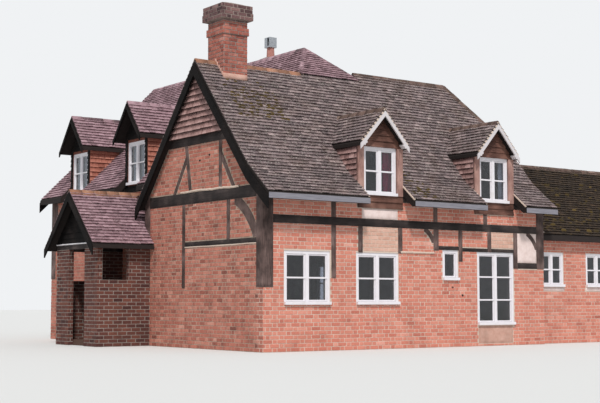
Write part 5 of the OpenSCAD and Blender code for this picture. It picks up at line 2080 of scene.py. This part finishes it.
@dataclass
class Dormers(Part):
    """Cheeks hung with tiles and faces boarded or hung."""

    board: float = 0.126

    def build(self) -> None:
        """Hangs tiles on the cheeks and boards the faces of the dormers."""
        p = self.palette
        self.cheeks("front", (Facing.LEFT, Facing.RIGHT), p.hung_tile)
        self.fronts(plane("front_dormer_walls", Facing.FRONT))
        self.returns()
        self.verge()
        self.cheeks("wing", (Facing.FRONT, Facing.BACK), p.red_hung_tile)
        # The wing dormers' faces get black boards, their near black partly painted shade.
        boards = Tiling.boards(self.board, 0.020, 0.026, 74)
        faces = [f for way in SIDES for f in facets("wing_dormer_walls", way, True)]
        make_piece("wing_dormer_boards", [boards.lay(f) for f in faces],
                   p.boards[Grain.ALONG_GABLE])

    def cheeks(self, name: str, ways: Sequence[Facing], tile: Material) -> None:
        """Hangs tiles on the faces that look away from the middle of their own dormer.

        Args:
            name: Where the dormers are.
            ways: The ways that their cheeks look.
            tile: Finish of the tiles.
        """
        node = f"{name}_dormer_walls"
        hung = Tiling(gauge=0.115, first=0.0, swell=0.002, lift=0.030, thick=0.022, lap_shade_and_grime=1.3,
                      variety=0.1, seed=70)
        centres = np.array([(low + high) / 2 for low, high, _ in solids(node)])
        shells = []
        for facet in (f for way in ways for f in facets(node, way)):
            near = centres[np.argmin(np.abs((centres - facet.centre) @ facet.n))]
            if facet.n @ (facet.centre - near) > 0.3:
                shells.append(hung.lay(facet))
        make_piece(f"{name}_dormer_hung_tiles", shells, tile)

    def fronts(self, face: Facet) -> None:
        """Boards the front dormers over and under their windows, with upright boards beside them.

        Args:
            face: The plane of both dormers' fronts.
        """
        p = self.palette
        windows = ordered("upper_windows", 0, True)
        sill, lintel = windows[0].low[2], windows[0].high[2]
        low = float(face.levels[0])
        apron = Tiling.boards((sill - low) / 2, 0.026, 0.034, 71)
        gable = Tiling.boards(self.board, 0.026, 0.034, 72)
        over, under = Rect(-FAR, FAR, sill - MM, FAR), Rect(-FAR, FAR, -FAR, lintel + MM)
        boards = [apron.lay(face, (over,)), gable.lay(face, (under,), lintel - low)]
        make_piece("front_dormer_boards", boards, p.weatherboard)
        plank = Skin(step=0.25, height=0.036, ripple=0.0008, spread=0.0, roll=0.004, seed=73)
        shells = [plank.cover(face, Rect(a, b, sill, lintel))
                  for wall, window in zip(ordered("front_dormer_walls", 0), windows)
                  for a, b in ((wall.low[0], window.low[0] - 0.004),
                               (window.high[0] + 0.004, wall.high[0]))]
        make_piece("front_dormer_corner_boards", shells, p.corner_board)

    def verge(self) -> None:
        """Beds a dab of mortar under each tile course along the verges of the front dormers."""
        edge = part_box("front_dormer_roofs")[0].y
        shells = []
        for facet in slopes("front_dormer_roofs"):
            v = np.arange(facet.levels[0] + 0.05, facet.levels[-1] - 0.03, 0.1)
            u0, u1 = np.sort(facet.u[1] * np.array([edge - 0.024, edge + 0.01]))
            corners = np.array([(u, dv, h) for h in (-0.030, 0.002)
                                for u, dv in ((u0, 0.0), (u1, 0.0), (u1, 0.052), (u0, 0.052))])
            points = corners[None] + np.stack([0 * v, v, 0 * v], axis=-1)[:, None]
            shells.append(Shell.repeated(facet.place(points), [(0, 3, 2, 1), *BLOCK],
                                         np.full(len(v), 0.5)))
        make_piece("front_dormer_verge_mortar", shells, self.palette.mortar)

    def returns(self) -> None:
        """Puts a small moulded bracket inside the foot of each bargeboard of the front dormers.

        Its outline has a hollow under a flat band, and runs back from the board towards the wall.
        """
        shells, size = [], 0.085
        outline = np.array([(0.0, 0.0), (0.0, size), (size, size), (size, 0.050), (0.060, 0.044),
                            (0.044, 0.028), (0.036, 0.0)])
        for low, high, _ in solids("front_dormer_bargeboards"):
            z = low[2] + size
            for x, side in ((low[0] + size, 1.0), (high[0] - size, -1.0)):
                loop = np.column_stack([outline[:, 0] * side, np.zeros(7), outline[:, 1]])
                shells.append(prism(np.array([[x, low[1] + MM, z], [x, -0.06, z]]), loop))
        make_piece("front_dormer_returns", shells, self.palette.old_white)


@dataclass
class Studio:
    """Pale floor, soft light and the camera."""

    place: tuple[float, float, float] = (-13.56, -19.86, 1.015)
    look: tuple[float, float, float] = (0.5864, 0.8061, 0.0797)
    focal_pixels: float = 1233.0
    image_width: float = 600.0
    key_from: tuple[float, float, float] = (-0.34, -0.56, 0.82)
    key_strength: float = 2.7
    floor_reach: float = 90.0

    def build(self) -> None:
        """Sets up floor, world, lamp, camera and view."""
        scene = bpy.context.scene
        scene.view_settings.view_transform = "Standard"
        self.floor()
        scene.world = bpy.data.worlds.new("studio_sky")
        scene.world.use_nodes = True
        tree = scene.world.node_tree
        tree.nodes.clear()
        path = add_node(tree, "LightPath").outputs
        seen = add_node(tree, "Math", {0: path["Is Camera Ray"], 1: path["Is Glossy Ray"]},
                        operation="MAXIMUM")
        shown = add_node(tree, "Math", {0: seen, 1: path["Is Transmission Ray"]},
                         operation="MAXIMUM")
        soft = add_node(tree, "Background", {"Color": linear("#E8EEF6"), "Strength": 0.6})
        pale = add_node(tree, "Background", {"Color": linear("#F0F2F4"), "Strength": 1.0})
        mix = add_node(tree, "MixShader", {0: shown, 1: soft, 2: pale})
        add_node(tree, "OutputWorld", {"Surface": mix})
        lamp = bpy.data.lights.new("key", "SUN")
        lamp.energy, lamp.angle, lamp.color = self.key_strength, math.radians(5), (1.0, 0.97, 0.95)
        lens = bpy.data.cameras.new("camera")
        lens.sensor_width, lens.clip_end = 36.0, 300.0
        lens.lens = self.focal_pixels / self.image_width * lens.sensor_width
        key, camera = bpy.data.objects.new("key", lamp), bpy.data.objects.new("camera", lens)
        key.rotation_euler = Vector(self.key_from).to_track_quat("Z", "Y").to_euler()
        camera.location = self.place
        camera.rotation_euler = Vector(self.look).to_track_quat("-Z", "Y").to_euler()
        for thing in (key, camera):
            scene.collection.objects.link(thing)
        scene.camera = camera
        LOG.info("studio ready")

    def floor(self) -> None:
        """Lays a plain pale floor under the house."""
        material = bpy.data.materials.new("pale_floor")
        material.use_nodes = True
        tree = material.node_tree
        tree.nodes.clear()
        shader = add_node(tree, "BsdfPrincipled", {
            "Base Color": linear("#D9D9D6"), "Roughness": 0.9, "Specular IOR Level": 0.1})
        add_node(tree, "OutputMaterial", {"Surface": shader})
        low, high = CAD_BOX
        reach = self.floor_reach
        x, y = np.meshgrid(np.linspace(low.x - reach, high.x + reach, 3),
                           np.linspace(low.y - reach, high.y + reach, 3))
        shell = Shell.grid(np.stack([x, y, np.full(x.shape, low.z - 2 * MM)], axis=-1))
        mesh = bpy.data.meshes.new("floor")
        mesh.from_pydata(shell.points.tolist(), [], shell.quads.tolist())
        mesh.materials.append(material)
        ground = bpy.data.objects.new("floor", mesh)
        bpy.context.scene.collection.objects.link(ground)


def main() -> None:
    """Builds the house in order and reports each piece."""
    logging.basicConfig(level=logging.INFO, format="%(name)s: %(message)s")
    palette = Palette()
    for part in (Dressing, Walls, Roofs, Frame, Windows, Curtains, Stacks, Porch, Dormers):
        part(palette).build()
    Studio().build()


if __name__ == "__main__":
    main()
